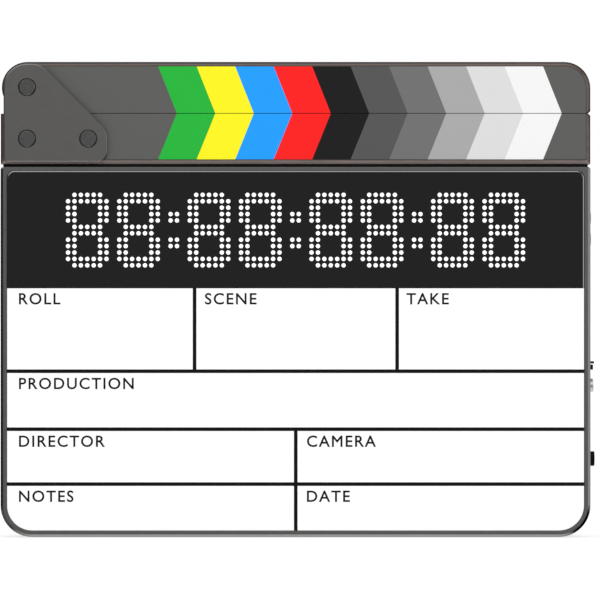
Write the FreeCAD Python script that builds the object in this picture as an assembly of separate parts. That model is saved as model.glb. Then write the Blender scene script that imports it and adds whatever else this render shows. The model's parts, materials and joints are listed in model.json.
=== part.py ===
import FreeCAD
import Part
import math
import os

# Clapperboard with a timecode display, in millimetres.
# X runs to the right, Y to the back and Z up. Zero is the middle of the housing's bottom face.

# Fits that many pieces share
OVERRUN = 2.0
SLIP = 0.15
FIT = 0.05
TOUCH = 0.001

# Housing
BOARD_WIDTH = 280.0
BOARD_HEIGHT = 175.6
BOARD_DEPTH = 30.0
BOTTOM_CORNER_RADIUS = 15.0
TOP_CORNER_RADIUS = 1.2
FRONT_CHAMFER = 1.25
REAR_CHAMFER = 0.7
RIM_WIDTH = 3.0
TOP_RIM_WIDTH = 1.75
RECESS_TOP_RADIUS = 3.8
LIP_CHAMFER = 0.2
WALL = 3.0
DECK = 2.0

# Panels in the front recess
PANEL_THICKNESS = 3.6
PANEL_PROUD = 0.3
PANEL_BEVEL = 0.45
PANEL_BEVEL_DEPTH = 0.3
DISPLAY_HEIGHT = 55.75
DISPLAY_DROP = 0.32

# Dots of the display: four pairs of digits with colons between the pairs
DOT_PITCH = 3.04
DOT_SIZE = 2.0
DOT_GAP = 0.4
DOT_MARGIN = 2.0
PAIRS = 4
DIGITS_IN_PAIR = 2
PAIR_STEP = 19
DIGIT_STEP = 8
DIGIT_COLUMNS = 7
DIGIT_ROWS = 12
BAR_ROWS = (0, 1, 5, 6, 10, 11)
ROUNDED_ROWS = (0, 5, 6, 11)
UPRIGHT_COLUMNS = (0, 1, 5, 6)
END_COLUMNS = (0, 6)
COLON_COLUMNS = (16, 17)
COLON_ROWS = (3, 4, 7, 8)

# Circuit board of the dots
LED_BOARD_THICKNESS = 1.6
LED_BOARD_SIDE_GAP = 3.5
LED_BOARD_INSET = 5.0
LED_SCREW_EDGE = 5.0

# Small screws that hold circuit boards and the strap
BOARD_SCREW_RADIUS = 1.2
BOARD_SCREW_HEAD_RADIUS = 2.2
BOARD_SCREW_HEAD_HEIGHT = 1.5

# Rear cover, its screws, hooks and ribs
COVER_THICKNESS = 2.5
COVER_INSET = 1.4
COVER_SCREW_RADIUS = 1.5
COVER_SCREW_HEAD_RADIUS = 2.9
COVER_SCREW_HEAD_HEIGHT = 1.4
COVER_SCREW_LENGTH = 9.0
BOSS_RADIUS = 3.6
BOSS_BITE = 1.0
SIDE_BOSS_DROP = 10.0
INNER_BOSS_SHARE = 0.33
HOOK_WIDTH = 14.0
HOOK_THICKNESS = 1.5
HOOK_REACH = 1.3
HOOK_LENGTH = 6.0
HOOK_PLACE_SHARES = (-0.35, 0.0, 0.35)
RIB_THICKNESS = 1.6
RIB_HEIGHT = 4.0
RIB_LENGTH_SHARE = 0.68
RIB_CENTRE_SHARE = -0.09
RIB_LEVEL_SHARES = (0.17, 0.55)

# Threaded insert in the back
TRIPOD_LEVEL = 60.0
THREAD_RADIUS = 3.175
THREAD_DEPTH = 8.0
INSERT_RADIUS = 5.0
INSERT_LENGTH = 9.5
INSERT_BOSS_RADIUS = 8.0
INSERT_BOSS_FLOOR = 1.5

# Rubber feet on the back
FOOT_RADIUS = 6.0
FOOT_HEIGHT = 2.0
FOOT_SINK = 0.6
FOOT_EDGE = 24.0

# Battery and its strap
BATTERY_WIDTH = 100.0
BATTERY_HEIGHT = 62.0
BATTERY_THICKNESS = 12.0
BATTERY_CORNER = 3.0
BATTERY_CENTRE_SHARE = -0.24
BATTERY_LEVEL = 55.0
STRAP_WIDTH = 16.0
STRAP_THICKNESS = 1.2
STRAP_FOOT = 9.0

# Control board on its posts
CONTROL_BOARD_WIDTH = 44.0
CONTROL_BOARD_MARGIN = 14.0
CONTROL_BOARD_SIDE_GAP = 6.0
CONTROL_BOARD_THICKNESS = 1.6
CONTROL_SCREW_EDGE = 4.0
STANDOFF_HEIGHT = 4.0
STANDOFF_RADIUS = 2.8
STANDOFF_SCREW_LENGTH = 4.5

# Flat cable between the circuit boards
RIBBON_WIDTH = 16.0
RIBBON_THICKNESS = 0.4
RIBBON_OVERLAP = 10.0
RIBBON_EDGE = 10.0
RIBBON_PLUG_HEIGHT = 2.4
RIBBON_PLUG_LENGTH = 4.0

# Side buttons and their switches
BUTTON_HEIGHT = 5.8
BUTTON_DEPTH = 8.0
BUTTON_PROUD = 0.5
BUTTON_TRAVEL = 0.4
BUTTON_GAP = 0.3
BUTTON_FLANGE = 1.0
BUTTON_FLANGE_THICKNESS = 0.8
BUTTON_STEM_RADIUS = 1.5
BUTTON_STEM_LENGTH = 1.2
BUTTON_SPACING = 10.2
BUTTON_RISE = 0.8
SWITCH_PLAY = 0.1
SWITCH_PLUNGER_RADIUS = 1.2
SWITCH_PLUNGER_LENGTH = 1.0
SWITCH_LENGTH = 3.5
SWITCH_HEIGHT = 6.0
SWITCH_THICKNESS = 12.0

# Charging port and its cover
PORT_LEVEL = 85.9
PORT_HEIGHT = 11.4
PORT_DEPTH = 5.6
SOCKET_WIDTH = 9.0
SOCKET_THICKNESS = 3.2
SOCKET_LENGTH = 9.0
SOCKET_SHELL = 0.35
SOCKET_MOUTH_DEPTH = 7.0
TONGUE_WIDTH = 6.7
TONGUE_THICKNESS = 0.7
TONGUE_SETBACK = 1.0
PORT_COVER_HEIGHT = 13.4
PORT_COVER_WIDTH = 9.0
PORT_COVER_THICKNESS = 1.6
PORT_COVER_STANDOFF = 0.1
PORT_COVER_GAP = 0.4
PORT_PLUG_GAP = 0.7
PORT_PLUG_DEPTH = 1.0
GRIP_HEIGHT = 2.4
GRIP_PROUD = 1.5
GRIP_RISE = 0.15
RIDGE_HEIGHT = 1.0
RIDGE_PROUD = 2.0
RIDGE_RISE = 3.1
ANCHOR_HEIGHT = 3.2
ANCHOR_GAP = 0.5
ANCHOR_STEM_RADIUS = 1.0
ANCHOR_HEAD_RADIUS = 1.5
ANCHOR_HEAD_LENGTH = 1.0

# Timecode jack and its nut
JACK_LEVEL = 71.9
JACK_RADIUS = 1.8
JACK_DEPTH = 14.0
JACK_PROUD = 1.8
JACK_NOSE_RADIUS = 2.5
JACK_NUT_RADIUS = 3.2
JACK_NUT_CHAMFER = 0.25
JACK_NUT_SLOT = 0.8
JACK_NUT_SLOT_DEPTH = 0.6
JACK_HEIGHT = 6.4
JACK_THICKNESS = 6.4
JACK_LENGTH = 13.0

# Side knob, its shaft and encoder
KNOB_LEVEL = 36.9
KNOB_RADIUS = 3.5
KNOB_THICKNESS = 2.15
KNOB_CLEARANCE = 0.3
KNOB_FACE = 0.6
KNOB_CHAMFER = 0.3
KNOB_GROOVES = 16
KNOB_GROOVE_RADIUS = 0.3
SHAFT_RADIUS = 1.5
SHAFT_GRIP = 4.0
ENCODER_HEIGHT = 10.0
ENCODER_THICKNESS = 9.0
ENCODER_LENGTH = 6.0
ENCODER_SETBACK = 1.5
ENCODER_NOSE_RADIUS = 2.6

# Sticks, their front sheets and the strip under them
STICK_SETBACK = 2.0
LOWER_STICK_HEIGHT = 23.9
UPPER_STICK_HEIGHT = 24.3
STICK_CHAMFER = 1.7
STICK_SEAM = 0.3
SEAM_CORNER = 0.9
SEAM_FACE_CORNER = 0.4
UPPER_CORNER_RADIUS = 12.4
LABEL_THICKNESS = 0.5
LABEL_INSET = 2.2
LABEL_TUCK = 2.2
GASKET_THICKNESS = 1.45
GASKET_INSET = 1.2

# Bolts from the housing into the lower stick
STICK_BOLT_RADIUS = 2.0
STICK_BOLT_HEAD_RADIUS = 3.5
STICK_BOLT_HEAD_HEIGHT = 2.8
STICK_BOLT_REACH = 14.0
STICK_BOLT_PLACE_SHARES = (-0.27, 0.09, 0.44)

# Magnets and clap sensor in the sticks
MAGNET_RADIUS = 4.0
MAGNET_HEIGHT = 3.0
MAGNET_SINK = 0.2
MAGNET_PLACE_SHARES = (0.21, 0.39)
SENSOR_LENGTH = 12.0
SENSOR_DEPTH = 6.0
SENSOR_HEIGHT = 5.0
SENSOR_RISE = 14.0
SENSOR_PLACE_SHARE = 0.3

# Hinge: plates, posts, screws, washers and bush
PIVOT_INSET = 12.65
PLATE_THICKNESS = 2.2
PLATE_EDGE_INSET = 1.0
PLATE_DIAGONAL = 12.45
PLATE_REACH = 9.0
PLATE_BEND_RADIUS = 11.0
PLATE_TOE_RADIUS = 4.4
PLATE_HEEL_RADIUS = 2.2
PLATE_CHAMFER = 0.45
PLATE_SCREW_SPACING = 29.0
WASHER_GAP = 0.8
WASHER_PLAY = 0.05
WASHER_RADIUS = 6.0
HEAD_RADIUS = 3.9
HEAD_SINK = 1.4
HEAD_PROUD = 0.2
HEAD_CHAMFER = 0.3
HEAD_GAP = 0.42
POST_RADIUS = 3.0
POST_BORE_DEPTH = 14.0
HINGE_SCREW_RADIUS = 1.8
HINGE_SCREW_LENGTH = 12.0
BUSH_RADIUS = 4.5
RUNNING_FIT = 0.05

# Planes across the depth, from front to back
FRONT = -BOARD_DEPTH / 2
BACK = BOARD_DEPTH / 2
PANEL_FRONT = FRONT - PANEL_PROUD
PANEL_BACK = PANEL_FRONT + PANEL_THICKNESS
DECK_BACK = PANEL_BACK + DECK
STRAP_FOOT_BACK = DECK_BACK + STRAP_THICKNESS
LED_BOARD_BACK = DECK_BACK + LED_BOARD_THICKNESS
SWITCH_BACK = LED_BOARD_BACK + SWITCH_THICKNESS
CONTROL_BOARD_FRONT = DECK_BACK + STANDOFF_HEIGHT
CONTROL_BOARD_BACK = CONTROL_BOARD_FRONT + CONTROL_BOARD_THICKNESS
COVER_FRONT = BACK - COVER_THICKNESS
BUTTON_Y = LED_BOARD_BACK + SWITCH_THICKNESS / 2
SOCKET_Y = CONTROL_BOARD_BACK + SOCKET_THICKNESS / 2
JACK_Y = CONTROL_BOARD_BACK + JACK_THICKNESS / 2
KNOB_Y = CONTROL_BOARD_BACK + ENCODER_THICKNESS / 2
STICK_BACK = BACK - STICK_SETBACK
STICK_FRONT = -STICK_BACK
PLATE_INNER = STICK_BACK + WASHER_GAP
PLATE_OUTER = PLATE_INNER + PLATE_THICKNESS
HEAD_SEAT = PLATE_OUTER - HEAD_SINK

# Places to the left and right
SIDE = BOARD_WIDTH / 2
INNER_SIDE = SIDE - WALL
BATTERY_CENTRE = BOARD_WIDTH * BATTERY_CENTRE_SHARE
PIVOT_X = -SIDE + PIVOT_INSET
PLATE_SCREW_X = PIVOT_X + PLATE_SCREW_SPACING
PLATE_RIGHT = PLATE_SCREW_X + PLATE_REACH
CONTROL_BOARD_RIGHT = INNER_SIDE - CONTROL_BOARD_SIDE_GAP
CONTROL_BOARD_LEFT = CONTROL_BOARD_RIGHT - CONTROL_BOARD_WIDTH
RIBBON_LEFT = CONTROL_BOARD_LEFT + RIBBON_EDGE
COVER_INNER = SIDE - PORT_COVER_THICKNESS
REBATE_FLOOR = COVER_INNER - PORT_COVER_STANDOFF
COVER_HINGE_X = SIDE - PORT_COVER_THICKNESS / 2

# Levels
INNER_TOP = BOARD_HEIGHT - WALL
DISPLAY_TOP = BOARD_HEIGHT - TOP_RIM_WIDTH
DISPLAY_BOTTOM = DISPLAY_TOP - DISPLAY_HEIGHT
DISPLAY_LEVEL = DISPLAY_TOP - DISPLAY_HEIGHT / 2 - DISPLAY_DROP
UPPER_BUTTON_LEVEL = DISPLAY_LEVEL + BUTTON_RISE + BUTTON_SPACING / 2
LOWER_BUTTON_LEVEL = UPPER_BUTTON_LEVEL - BUTTON_SPACING
LED_BOARD_HALF = DISPLAY_HEIGHT / 2 - LED_BOARD_INSET
CONTROL_BOARD_BOTTOM = KNOB_LEVEL - CONTROL_BOARD_MARGIN
CONTROL_BOARD_TOP = PORT_LEVEL + CONTROL_BOARD_MARGIN
COVER_BOTTOM = PORT_LEVEL - PORT_COVER_HEIGHT / 2
COVER_HINGE_LEVEL = COVER_BOTTOM + PORT_COVER_HEIGHT - PORT_COVER_THICKNESS / 2
ANCHOR_BOTTOM = COVER_BOTTOM + PORT_COVER_HEIGHT + ANCHOR_GAP
ANCHOR_LEVEL = ANCHOR_BOTTOM + ANCHOR_HEIGHT / 2
LOWER_STICK_BOTTOM = BOARD_HEIGHT + GASKET_THICKNESS
LOWER_STICK_TOP = LOWER_STICK_BOTTOM + LOWER_STICK_HEIGHT
UPPER_STICK_BOTTOM = LOWER_STICK_TOP + STICK_SEAM
UPPER_STICK_TOP = UPPER_STICK_BOTTOM + UPPER_STICK_HEIGHT
PIVOT_LEVEL = UPPER_STICK_BOTTOM + UPPER_STICK_HEIGHT / 2
PLATE_SCREW_LEVEL = LOWER_STICK_BOTTOM + LOWER_STICK_HEIGHT / 2


RIGHTWARD = FreeCAD.Vector(1, 0, 0)
BACKWARD = FreeCAD.Vector(0, 1, 0)
UPWARD = FreeCAD.Vector(0, 0, 1)


def at(x, y, z):
    return FreeCAD.Vector(x, y, z)


def block(x0, x1, y0, y1, z0, z1):
    return Part.makeBox(x1 - x0, y1 - y0, z1 - z0, at(x0, y0, z0))


def rod_x(radius, x0, x1, y, z):
    return Part.makeCylinder(radius, x1 - x0, at(x0, y, z), RIGHTWARD)


def rod_y(radius, y0, y1, x, z):
    return Part.makeCylinder(radius, y1 - y0, at(x, y0, z), BACKWARD)


def rod_z(radius, z0, z1, x, y):
    return Part.makeCylinder(radius, z1 - z0, at(x, y, z0), UPWARD)


def cone_y(radius0, radius1, y0, y1, x, z):
    return Part.makeCone(radius0, radius1, y1 - y0, at(x, y0, z), BACKWARD)


def cone_x(radius0, radius1, x0, x1, y, z):
    return Part.makeCone(radius0, radius1, x1 - x0, at(x0, y, z), RIGHTWARD)


def join(shapes):
    return shapes[0].fuse(shapes[1:]).removeSplitter()


def group(shapes):
    return Part.makeCompound(shapes)


def pill_x(height, depth, grow, x0, x1, y, z):
    """A bar along X whose section is a box with round ends, grown by a margin all round."""
    radius = min(height, depth) / 2 + grow
    half_y = depth / 2 + grow - radius
    half_z = height / 2 + grow - radius
    ends = [rod_x(radius, x0, x1, y + s * half_y, z + s * half_z) for s in (-1, 1)]
    if half_y > half_z:
        middle = block(x0, x1, y - half_y, y + half_y, z - radius, z + radius)
    else:
        middle = block(x0, x1, y - radius, y + radius, z - half_z, z + half_z)
    return join([middle] + ends)


def outline(corners, y):
    """A closed wire at depth y through corners (x, z, radius)."""
    count = len(corners)
    points = [at(x, y, z) for x, z, radius in corners]
    turns = []
    for i, here in enumerate(points):
        radius = corners[i][2]
        if radius == 0:
            turns.append((here, None, here))
            continue
        before = (points[i - 1] - here).normalize()
        after = (points[(i + 1) % count] - here).normalize()
        half = before.getAngle(after) / 2
        run = radius / math.tan(half)
        rise = radius / math.sin(half) - radius
        middle = here + (before + after).normalize() * rise
        turns.append((here + before * run, middle, here + after * run))
    edges = []
    for i, (start, middle, end) in enumerate(turns):
        if middle is not None:
            edges.append(Part.Arc(start, middle, end).toShape())
        following = turns[(i + 1) % count][0]
        if end.distanceToPoint(following) > TOUCH:
            edges.append(Part.makeLine(end, following))
    return Part.Wire(edges)


def slab(corners, y0, y1):
    return Part.Face(outline(corners, y0)).extrude(at(0, y1 - y0, 0))


def taper(corners0, y0, corners1, y1):
    return Part.makeLoft([outline(corners0, y0), outline(corners1, y1)], True, True)


def board_corners(side, top, top_radius):
    """The housing's outline, drawn in from the sides and bottom by one amount and the top by another."""
    radius = BOTTOM_CORNER_RADIUS - side
    right = SIDE - side
    level = BOARD_HEIGHT - top
    return [
        (-right, side, radius),
        (right, side, radius),
        (right, level, top_radius),
        (-right, level, top_radius),
    ]


def cover_screw_places():
    reach = SIDE - BOTTOM_CORNER_RADIUS
    level = WALL + BOSS_RADIUS - BOSS_BITE
    edge = INNER_SIDE - BOSS_RADIUS + BOSS_BITE
    places = [(s * reach, level) for s in (-1, 1)]
    places += [(s * reach * INNER_BOSS_SHARE, level) for s in (-1, 1)]
    places += [(s * edge, DISPLAY_BOTTOM - SIDE_BOSS_DROP) for s in (-1, 1)]
    return places


def led_screw_places():
    reach = INNER_SIDE - LED_BOARD_SIDE_GAP - LED_SCREW_EDGE
    rise = LED_BOARD_HALF - LED_SCREW_EDGE
    return [(sx * reach, DISPLAY_LEVEL + sz * rise) for sx in (-1, 1) for sz in (-1, 1)]


def control_screw_places():
    sides = (CONTROL_BOARD_LEFT + CONTROL_SCREW_EDGE, CONTROL_BOARD_RIGHT - CONTROL_SCREW_EDGE)
    levels = (CONTROL_BOARD_BOTTOM + CONTROL_SCREW_EDGE, CONTROL_BOARD_TOP - CONTROL_SCREW_EDGE)
    return [(x, z) for x in sides for z in levels]


def strap_screw_places():
    reach = BATTERY_HEIGHT / 2 + SLIP + STRAP_THICKNESS + STRAP_FOOT / 2
    return [(BATTERY_CENTRE, BATTERY_LEVEL + s * reach) for s in (-1, 1)]


def stick_bolt_places():
    return [BOARD_WIDTH * share for share in STICK_BOLT_PLACE_SHARES]


def plate_screw_places():
    return [(PIVOT_X, PLATE_SCREW_LEVEL), (PLATE_SCREW_X, PLATE_SCREW_LEVEL)]


def dot_places():
    """Column and row of every dot, with row 0 on top."""
    digit = []
    for row in range(DIGIT_ROWS):
        for column in range(DIGIT_COLUMNS):
            drawn = row in BAR_ROWS or column in UPRIGHT_COLUMNS
            rounded = row in ROUNDED_ROWS and column in END_COLUMNS
            if drawn and not rounded:
                digit.append((column, row))
    places = []
    for pair in range(PAIRS):
        for n in range(DIGITS_IN_PAIR):
            start = pair * PAIR_STEP + n * DIGIT_STEP
            places += [(start + column, row) for column, row in digit]
        if pair < PAIRS - 1:
            places += [(pair * PAIR_STEP + c, r) for c in COLON_COLUMNS for r in COLON_ROWS]
    return places


def dot_field():
    """Half the width and half the height from the first dot's centre to the last one's."""
    columns = (PAIRS - 1) * PAIR_STEP + (DIGITS_IN_PAIR - 1) * DIGIT_STEP + DIGIT_COLUMNS - 1
    rows = DIGIT_ROWS - 1
    return columns * DOT_PITCH / 2, rows * DOT_PITCH / 2


def housing():
    full = board_corners(0, 0, TOP_CORNER_RADIUS)
    front_edge = board_corners(FRONT_CHAMFER, 0, TOP_CORNER_RADIUS)
    rear_edge = board_corners(REAR_CHAMFER, 0, TOP_CORNER_RADIUS)
    body = join([
        taper(front_edge, FRONT, full, FRONT + FRONT_CHAMFER),
        slab(full, FRONT + FRONT_CHAMFER, BACK - REAR_CHAMFER),
        taper(full, BACK - REAR_CHAMFER, rear_edge, BACK),
    ])
    recess = board_corners(RIM_WIDTH, TOP_RIM_WIDTH, RECESS_TOP_RADIUS)
    lip = board_corners(RIM_WIDTH - LIP_CHAMFER, TOP_RIM_WIDTH - LIP_CHAMFER, RECESS_TOP_RADIUS + LIP_CHAMFER)
    cavity = board_corners(WALL, WALL, TOP_CORNER_RADIUS)
    rebate = board_corners(COVER_INSET, COVER_INSET, TOP_CORNER_RADIUS)
    dots_x, dots_z = dot_field()
    open_x = dots_x + DOT_SIZE / 2 + DOT_MARGIN
    open_z = dots_z + DOT_SIZE / 2 + DOT_MARGIN
    body = body.cut([
        slab(recess, FRONT - OVERRUN, PANEL_BACK),
        taper(lip, FRONT, recess, FRONT + LIP_CHAMFER),
        slab(cavity, DECK_BACK, BACK),
        slab(rebate, COVER_FRONT, BACK + OVERRUN),
        block(-open_x, open_x, PANEL_BACK - OVERRUN, DECK_BACK + OVERRUN,
              DISPLAY_LEVEL - open_z, DISPLAY_LEVEL + open_z),
    ])
    added = [rod_y(BOSS_RADIUS, DECK_BACK - DECK / 2, COVER_FRONT, x, z) for x, z in cover_screw_places()]
    added += [rod_y(STANDOFF_RADIUS, DECK_BACK - DECK / 2, CONTROL_BOARD_FRONT, x, z)
              for x, z in control_screw_places()]
    body = join([body] + added)
    return body.cut(housing_holes()).removeSplitter()


def housing_holes():
    holes = []
    for x, z in cover_screw_places():
        depth = COVER_SCREW_LENGTH + OVERRUN
        holes.append(rod_y(COVER_SCREW_RADIUS + FIT, BACK - depth, BACK, x, z))
    for x, z in control_screw_places():
        depth = STANDOFF_SCREW_LENGTH - CONTROL_BOARD_THICKNESS
        holes.append(rod_y(BOARD_SCREW_RADIUS + FIT, CONTROL_BOARD_FRONT - depth, CONTROL_BOARD_FRONT, x, z))
    for x, z in led_screw_places() + strap_screw_places():
        holes.append(rod_y(BOARD_SCREW_RADIUS + FIT, PANEL_BACK - OVERRUN, DECK_BACK + OVERRUN, x, z))
    for x in stick_bolt_places():
        holes.append(rod_z(STICK_BOLT_RADIUS + FIT, INNER_TOP - OVERRUN, BOARD_HEIGHT + OVERRUN, x, 0))
    for share in HOOK_PLACE_SHARES:
        x = BOARD_WIDTH * share
        half = HOOK_WIDTH / 2 + SLIP
        holes.append(block(x - half, x + half, COVER_FRONT - HOOK_THICKNESS - SLIP, COVER_FRONT,
                           INNER_TOP - OVERRUN, INNER_TOP + HOOK_REACH + SLIP))
    through = (INNER_SIDE - OVERRUN, SIDE + OVERRUN)
    for level in (UPPER_BUTTON_LEVEL, LOWER_BUTTON_LEVEL):
        holes.append(pill_x(BUTTON_HEIGHT, BUTTON_DEPTH, BUTTON_GAP, *through, BUTTON_Y, level))
    holes.append(pill_x(PORT_HEIGHT, PORT_DEPTH, 0, *through, SOCKET_Y, PORT_LEVEL))
    half = PORT_COVER_WIDTH / 2 + PORT_COVER_GAP
    holes.append(block(REBATE_FLOOR, SIDE + OVERRUN, SOCKET_Y - half, SOCKET_Y + half,
                       COVER_BOTTOM - PORT_COVER_GAP, ANCHOR_BOTTOM + ANCHOR_HEIGHT + SLIP))
    holes.append(rod_x(ANCHOR_STEM_RADIUS + FIT, *through, SOCKET_Y, ANCHOR_LEVEL))
    holes.append(rod_x(JACK_NOSE_RADIUS + SLIP, *through, JACK_Y, JACK_LEVEL))
    holes.append(rod_x(SHAFT_RADIUS + KNOB_CLEARANCE, *through, KNOB_Y, KNOB_LEVEL))
    return holes


def panel_corners(inset):
    gap = SLIP + inset
    return board_corners(RIM_WIDTH + gap, TOP_RIM_WIDTH + gap, RECESS_TOP_RADIUS - gap)


def panel_sheet():
    """Both panels in one piece: they stand a little proud of the rim, with a bevel all round."""
    edge = PANEL_FRONT + PANEL_BEVEL_DEPTH
    bevel = taper(panel_corners(PANEL_BEVEL), PANEL_FRONT, panel_corners(0), edge)
    return join([bevel, slab(panel_corners(0), edge, PANEL_BACK)])


def writing_board():
    sheet = panel_sheet()
    above = block(-SIDE, SIDE, FRONT - OVERRUN, BACK, DISPLAY_BOTTOM - SLIP / 2, BOARD_HEIGHT)
    return sheet.cut(above)


def display_window():
    sheet = panel_sheet()
    below = block(-SIDE, SIDE, FRONT - OVERRUN, BACK, -OVERRUN, DISPLAY_BOTTOM + SLIP / 2)
    return sheet.cut(below)


def led_board():
    reach = INNER_SIDE - LED_BOARD_SIDE_GAP
    bottom = DISPLAY_LEVEL - LED_BOARD_HALF
    top = DISPLAY_LEVEL + LED_BOARD_HALF
    board = block(-reach, reach, DECK_BACK, LED_BOARD_BACK, bottom, top)
    return board.cut(screw_holes(led_screw_places(), DECK_BACK, LED_BOARD_BACK))


def led_dots():
    dots_x, dots_z = dot_field()
    half = DOT_SIZE / 2
    dots = []
    for column, row in dot_places():
        x = column * DOT_PITCH - dots_x
        z = DISPLAY_LEVEL + dots_z - row * DOT_PITCH
        dots.append(block(x - half, x + half, PANEL_BACK + DOT_GAP, DECK_BACK, z - half, z + half))
    return group(dots)


def screw_holes(places, y0, y1):
    return [rod_y(BOARD_SCREW_RADIUS + FIT, y0 - OVERRUN, y1 + OVERRUN, x, z) for x, z in places]


def board_screws(places, seat, length):
    screws = []
    for x, z in places:
        head = rod_y(BOARD_SCREW_HEAD_RADIUS, seat, seat + BOARD_SCREW_HEAD_HEIGHT, x, z)
        screws.append(join([head, rod_y(BOARD_SCREW_RADIUS, seat - length, seat, x, z)]))
    return group(screws)


def control_board():
    board = block(CONTROL_BOARD_LEFT, CONTROL_BOARD_RIGHT, CONTROL_BOARD_FRONT, CONTROL_BOARD_BACK,
                  CONTROL_BOARD_BOTTOM, CONTROL_BOARD_TOP)
    return board.cut(screw_holes(control_screw_places(), CONTROL_BOARD_FRONT, CONTROL_BOARD_BACK))


def battery_pack():
    half_x = BATTERY_WIDTH / 2
    half_z = BATTERY_HEIGHT / 2
    corners = [(BATTERY_CENTRE + sx * half_x, BATTERY_LEVEL + sz * half_z, BATTERY_CORNER)
               for sx, sz in ((-1, -1), (1, -1), (1, 1), (-1, 1))]
    return slab(corners, DECK_BACK, DECK_BACK + BATTERY_THICKNESS)


def battery_strap():
    left = BATTERY_CENTRE - STRAP_WIDTH / 2
    right = BATTERY_CENTRE + STRAP_WIDTH / 2
    inner = BATTERY_HEIGHT / 2 + SLIP
    outer = inner + STRAP_THICKNESS
    toe = outer + STRAP_FOOT
    under = DECK_BACK + BATTERY_THICKNESS
    over = under + STRAP_THICKNESS
    pieces = [block(left, right, under, over, BATTERY_LEVEL - outer, BATTERY_LEVEL + outer)]
    for s in (-1, 1):
        inside, outside, end = sorted((s * inner, s * outer)), sorted((s * inner, s * toe)), BATTERY_LEVEL
        pieces.append(block(left, right, DECK_BACK, over, end + inside[0], end + inside[1]))
        pieces.append(block(left, right, DECK_BACK, STRAP_FOOT_BACK, end + outside[0], end + outside[1]))
    return join(pieces).cut(screw_holes(strap_screw_places(), DECK_BACK, STRAP_FOOT_BACK))


def ribbon_cable():
    """A flat cable that steps from the dots' board down and back to the control board."""
    low = CONTROL_BOARD_TOP - RIBBON_OVERLAP
    high = DISPLAY_LEVEL - LED_BOARD_HALF + RIBBON_OVERLAP
    middle = (CONTROL_BOARD_TOP + DISPLAY_LEVEL - LED_BOARD_HALF) / 2
    near = middle + RIBBON_OVERLAP / 2
    far = middle - RIBBON_OVERLAP / 2
    front = [
        (LED_BOARD_BACK, high),
        (LED_BOARD_BACK, near),
        (CONTROL_BOARD_BACK, far),
        (CONTROL_BOARD_BACK, low),
    ]
    rear = [(y + RIBBON_THICKNESS, z) for y, z in reversed(front)]
    points = [at(RIBBON_LEFT, y, z) for y, z in front + rear]
    band = Part.Face(Part.makePolygon(points + points[:1])).extrude(at(RIBBON_WIDTH, 0, 0))
    right = RIBBON_LEFT + RIBBON_WIDTH
    plugs = [
        block(RIBBON_LEFT, right, LED_BOARD_BACK, LED_BOARD_BACK + RIBBON_PLUG_HEIGHT,
              high - RIBBON_PLUG_LENGTH, high),
        block(RIBBON_LEFT, right, CONTROL_BOARD_BACK, CONTROL_BOARD_BACK + RIBBON_PLUG_HEIGHT,
              low, low + RIBBON_PLUG_LENGTH),
    ]
    return join([band] + plugs)


def side_button(level):
    seat = INNER_SIDE - BUTTON_FLANGE_THICKNESS
    return join([
        pill_x(BUTTON_HEIGHT, BUTTON_DEPTH, 0, seat, SIDE + BUTTON_PROUD, BUTTON_Y, level),
        pill_x(BUTTON_HEIGHT, BUTTON_DEPTH, BUTTON_FLANGE, seat, INNER_SIDE, BUTTON_Y, level),
        rod_x(BUTTON_STEM_RADIUS, seat - BUTTON_STEM_LENGTH, seat, BUTTON_Y, level),
    ])


def button_switches():
    stem_end = INNER_SIDE - BUTTON_FLANGE_THICKNESS - BUTTON_STEM_LENGTH
    tip = stem_end - BUTTON_TRAVEL - SWITCH_PLAY
    face = tip - SWITCH_PLUNGER_LENGTH
    switches = []
    for level in (UPPER_BUTTON_LEVEL, LOWER_BUTTON_LEVEL):
        half = SWITCH_HEIGHT / 2
        case = block(face - SWITCH_LENGTH, face, LED_BOARD_BACK, SWITCH_BACK, level - half, level + half)
        switches.append(join([case, rod_x(SWITCH_PLUNGER_RADIUS, face, tip, BUTTON_Y, level)]))
    return group(switches)


def usb_socket():
    mouth = INNER_SIDE
    back = mouth - SOCKET_LENGTH
    shell = pill_x(SOCKET_WIDTH, SOCKET_THICKNESS, 0, back, mouth, SOCKET_Y, PORT_LEVEL)
    hollow = pill_x(SOCKET_WIDTH, SOCKET_THICKNESS, -SOCKET_SHELL,
                    mouth - SOCKET_MOUTH_DEPTH, mouth + OVERRUN, SOCKET_Y, PORT_LEVEL)
    tongue = block(mouth - SOCKET_MOUTH_DEPTH, mouth - TONGUE_SETBACK,
                   SOCKET_Y - TONGUE_THICKNESS / 2, SOCKET_Y + TONGUE_THICKNESS / 2,
                   PORT_LEVEL - TONGUE_WIDTH / 2, PORT_LEVEL + TONGUE_WIDTH / 2)
    return join([shell.cut(hollow), tongue])


def port_cover():
    """A flap that lies flush in the wall, with a plug behind it and a grip and a ridge to lift it by."""
    front = SOCKET_Y - PORT_COVER_WIDTH / 2
    back = SOCKET_Y + PORT_COVER_WIDTH / 2
    flap = block(COVER_INNER, SIDE, front, back, COVER_BOTTOM, COVER_HINGE_LEVEL)
    round_end = rod_y(PORT_COVER_THICKNESS / 2, front, back, COVER_HINGE_X, COVER_HINGE_LEVEL)
    plug = pill_x(PORT_HEIGHT, PORT_DEPTH, -PORT_PLUG_GAP, REBATE_FLOOR - PORT_PLUG_DEPTH, COVER_INNER,
                  SOCKET_Y, PORT_LEVEL)
    grip_bottom = COVER_BOTTOM + GRIP_RISE
    ridge_bottom = COVER_BOTTOM + RIDGE_RISE
    grip = block(SIDE, SIDE + GRIP_PROUD, front, back, grip_bottom, grip_bottom + GRIP_HEIGHT)
    ridge = block(SIDE, SIDE + RIDGE_PROUD, front, back, ridge_bottom, ridge_bottom + RIDGE_HEIGHT)
    return join([flap, round_end, plug, grip, ridge])


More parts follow.
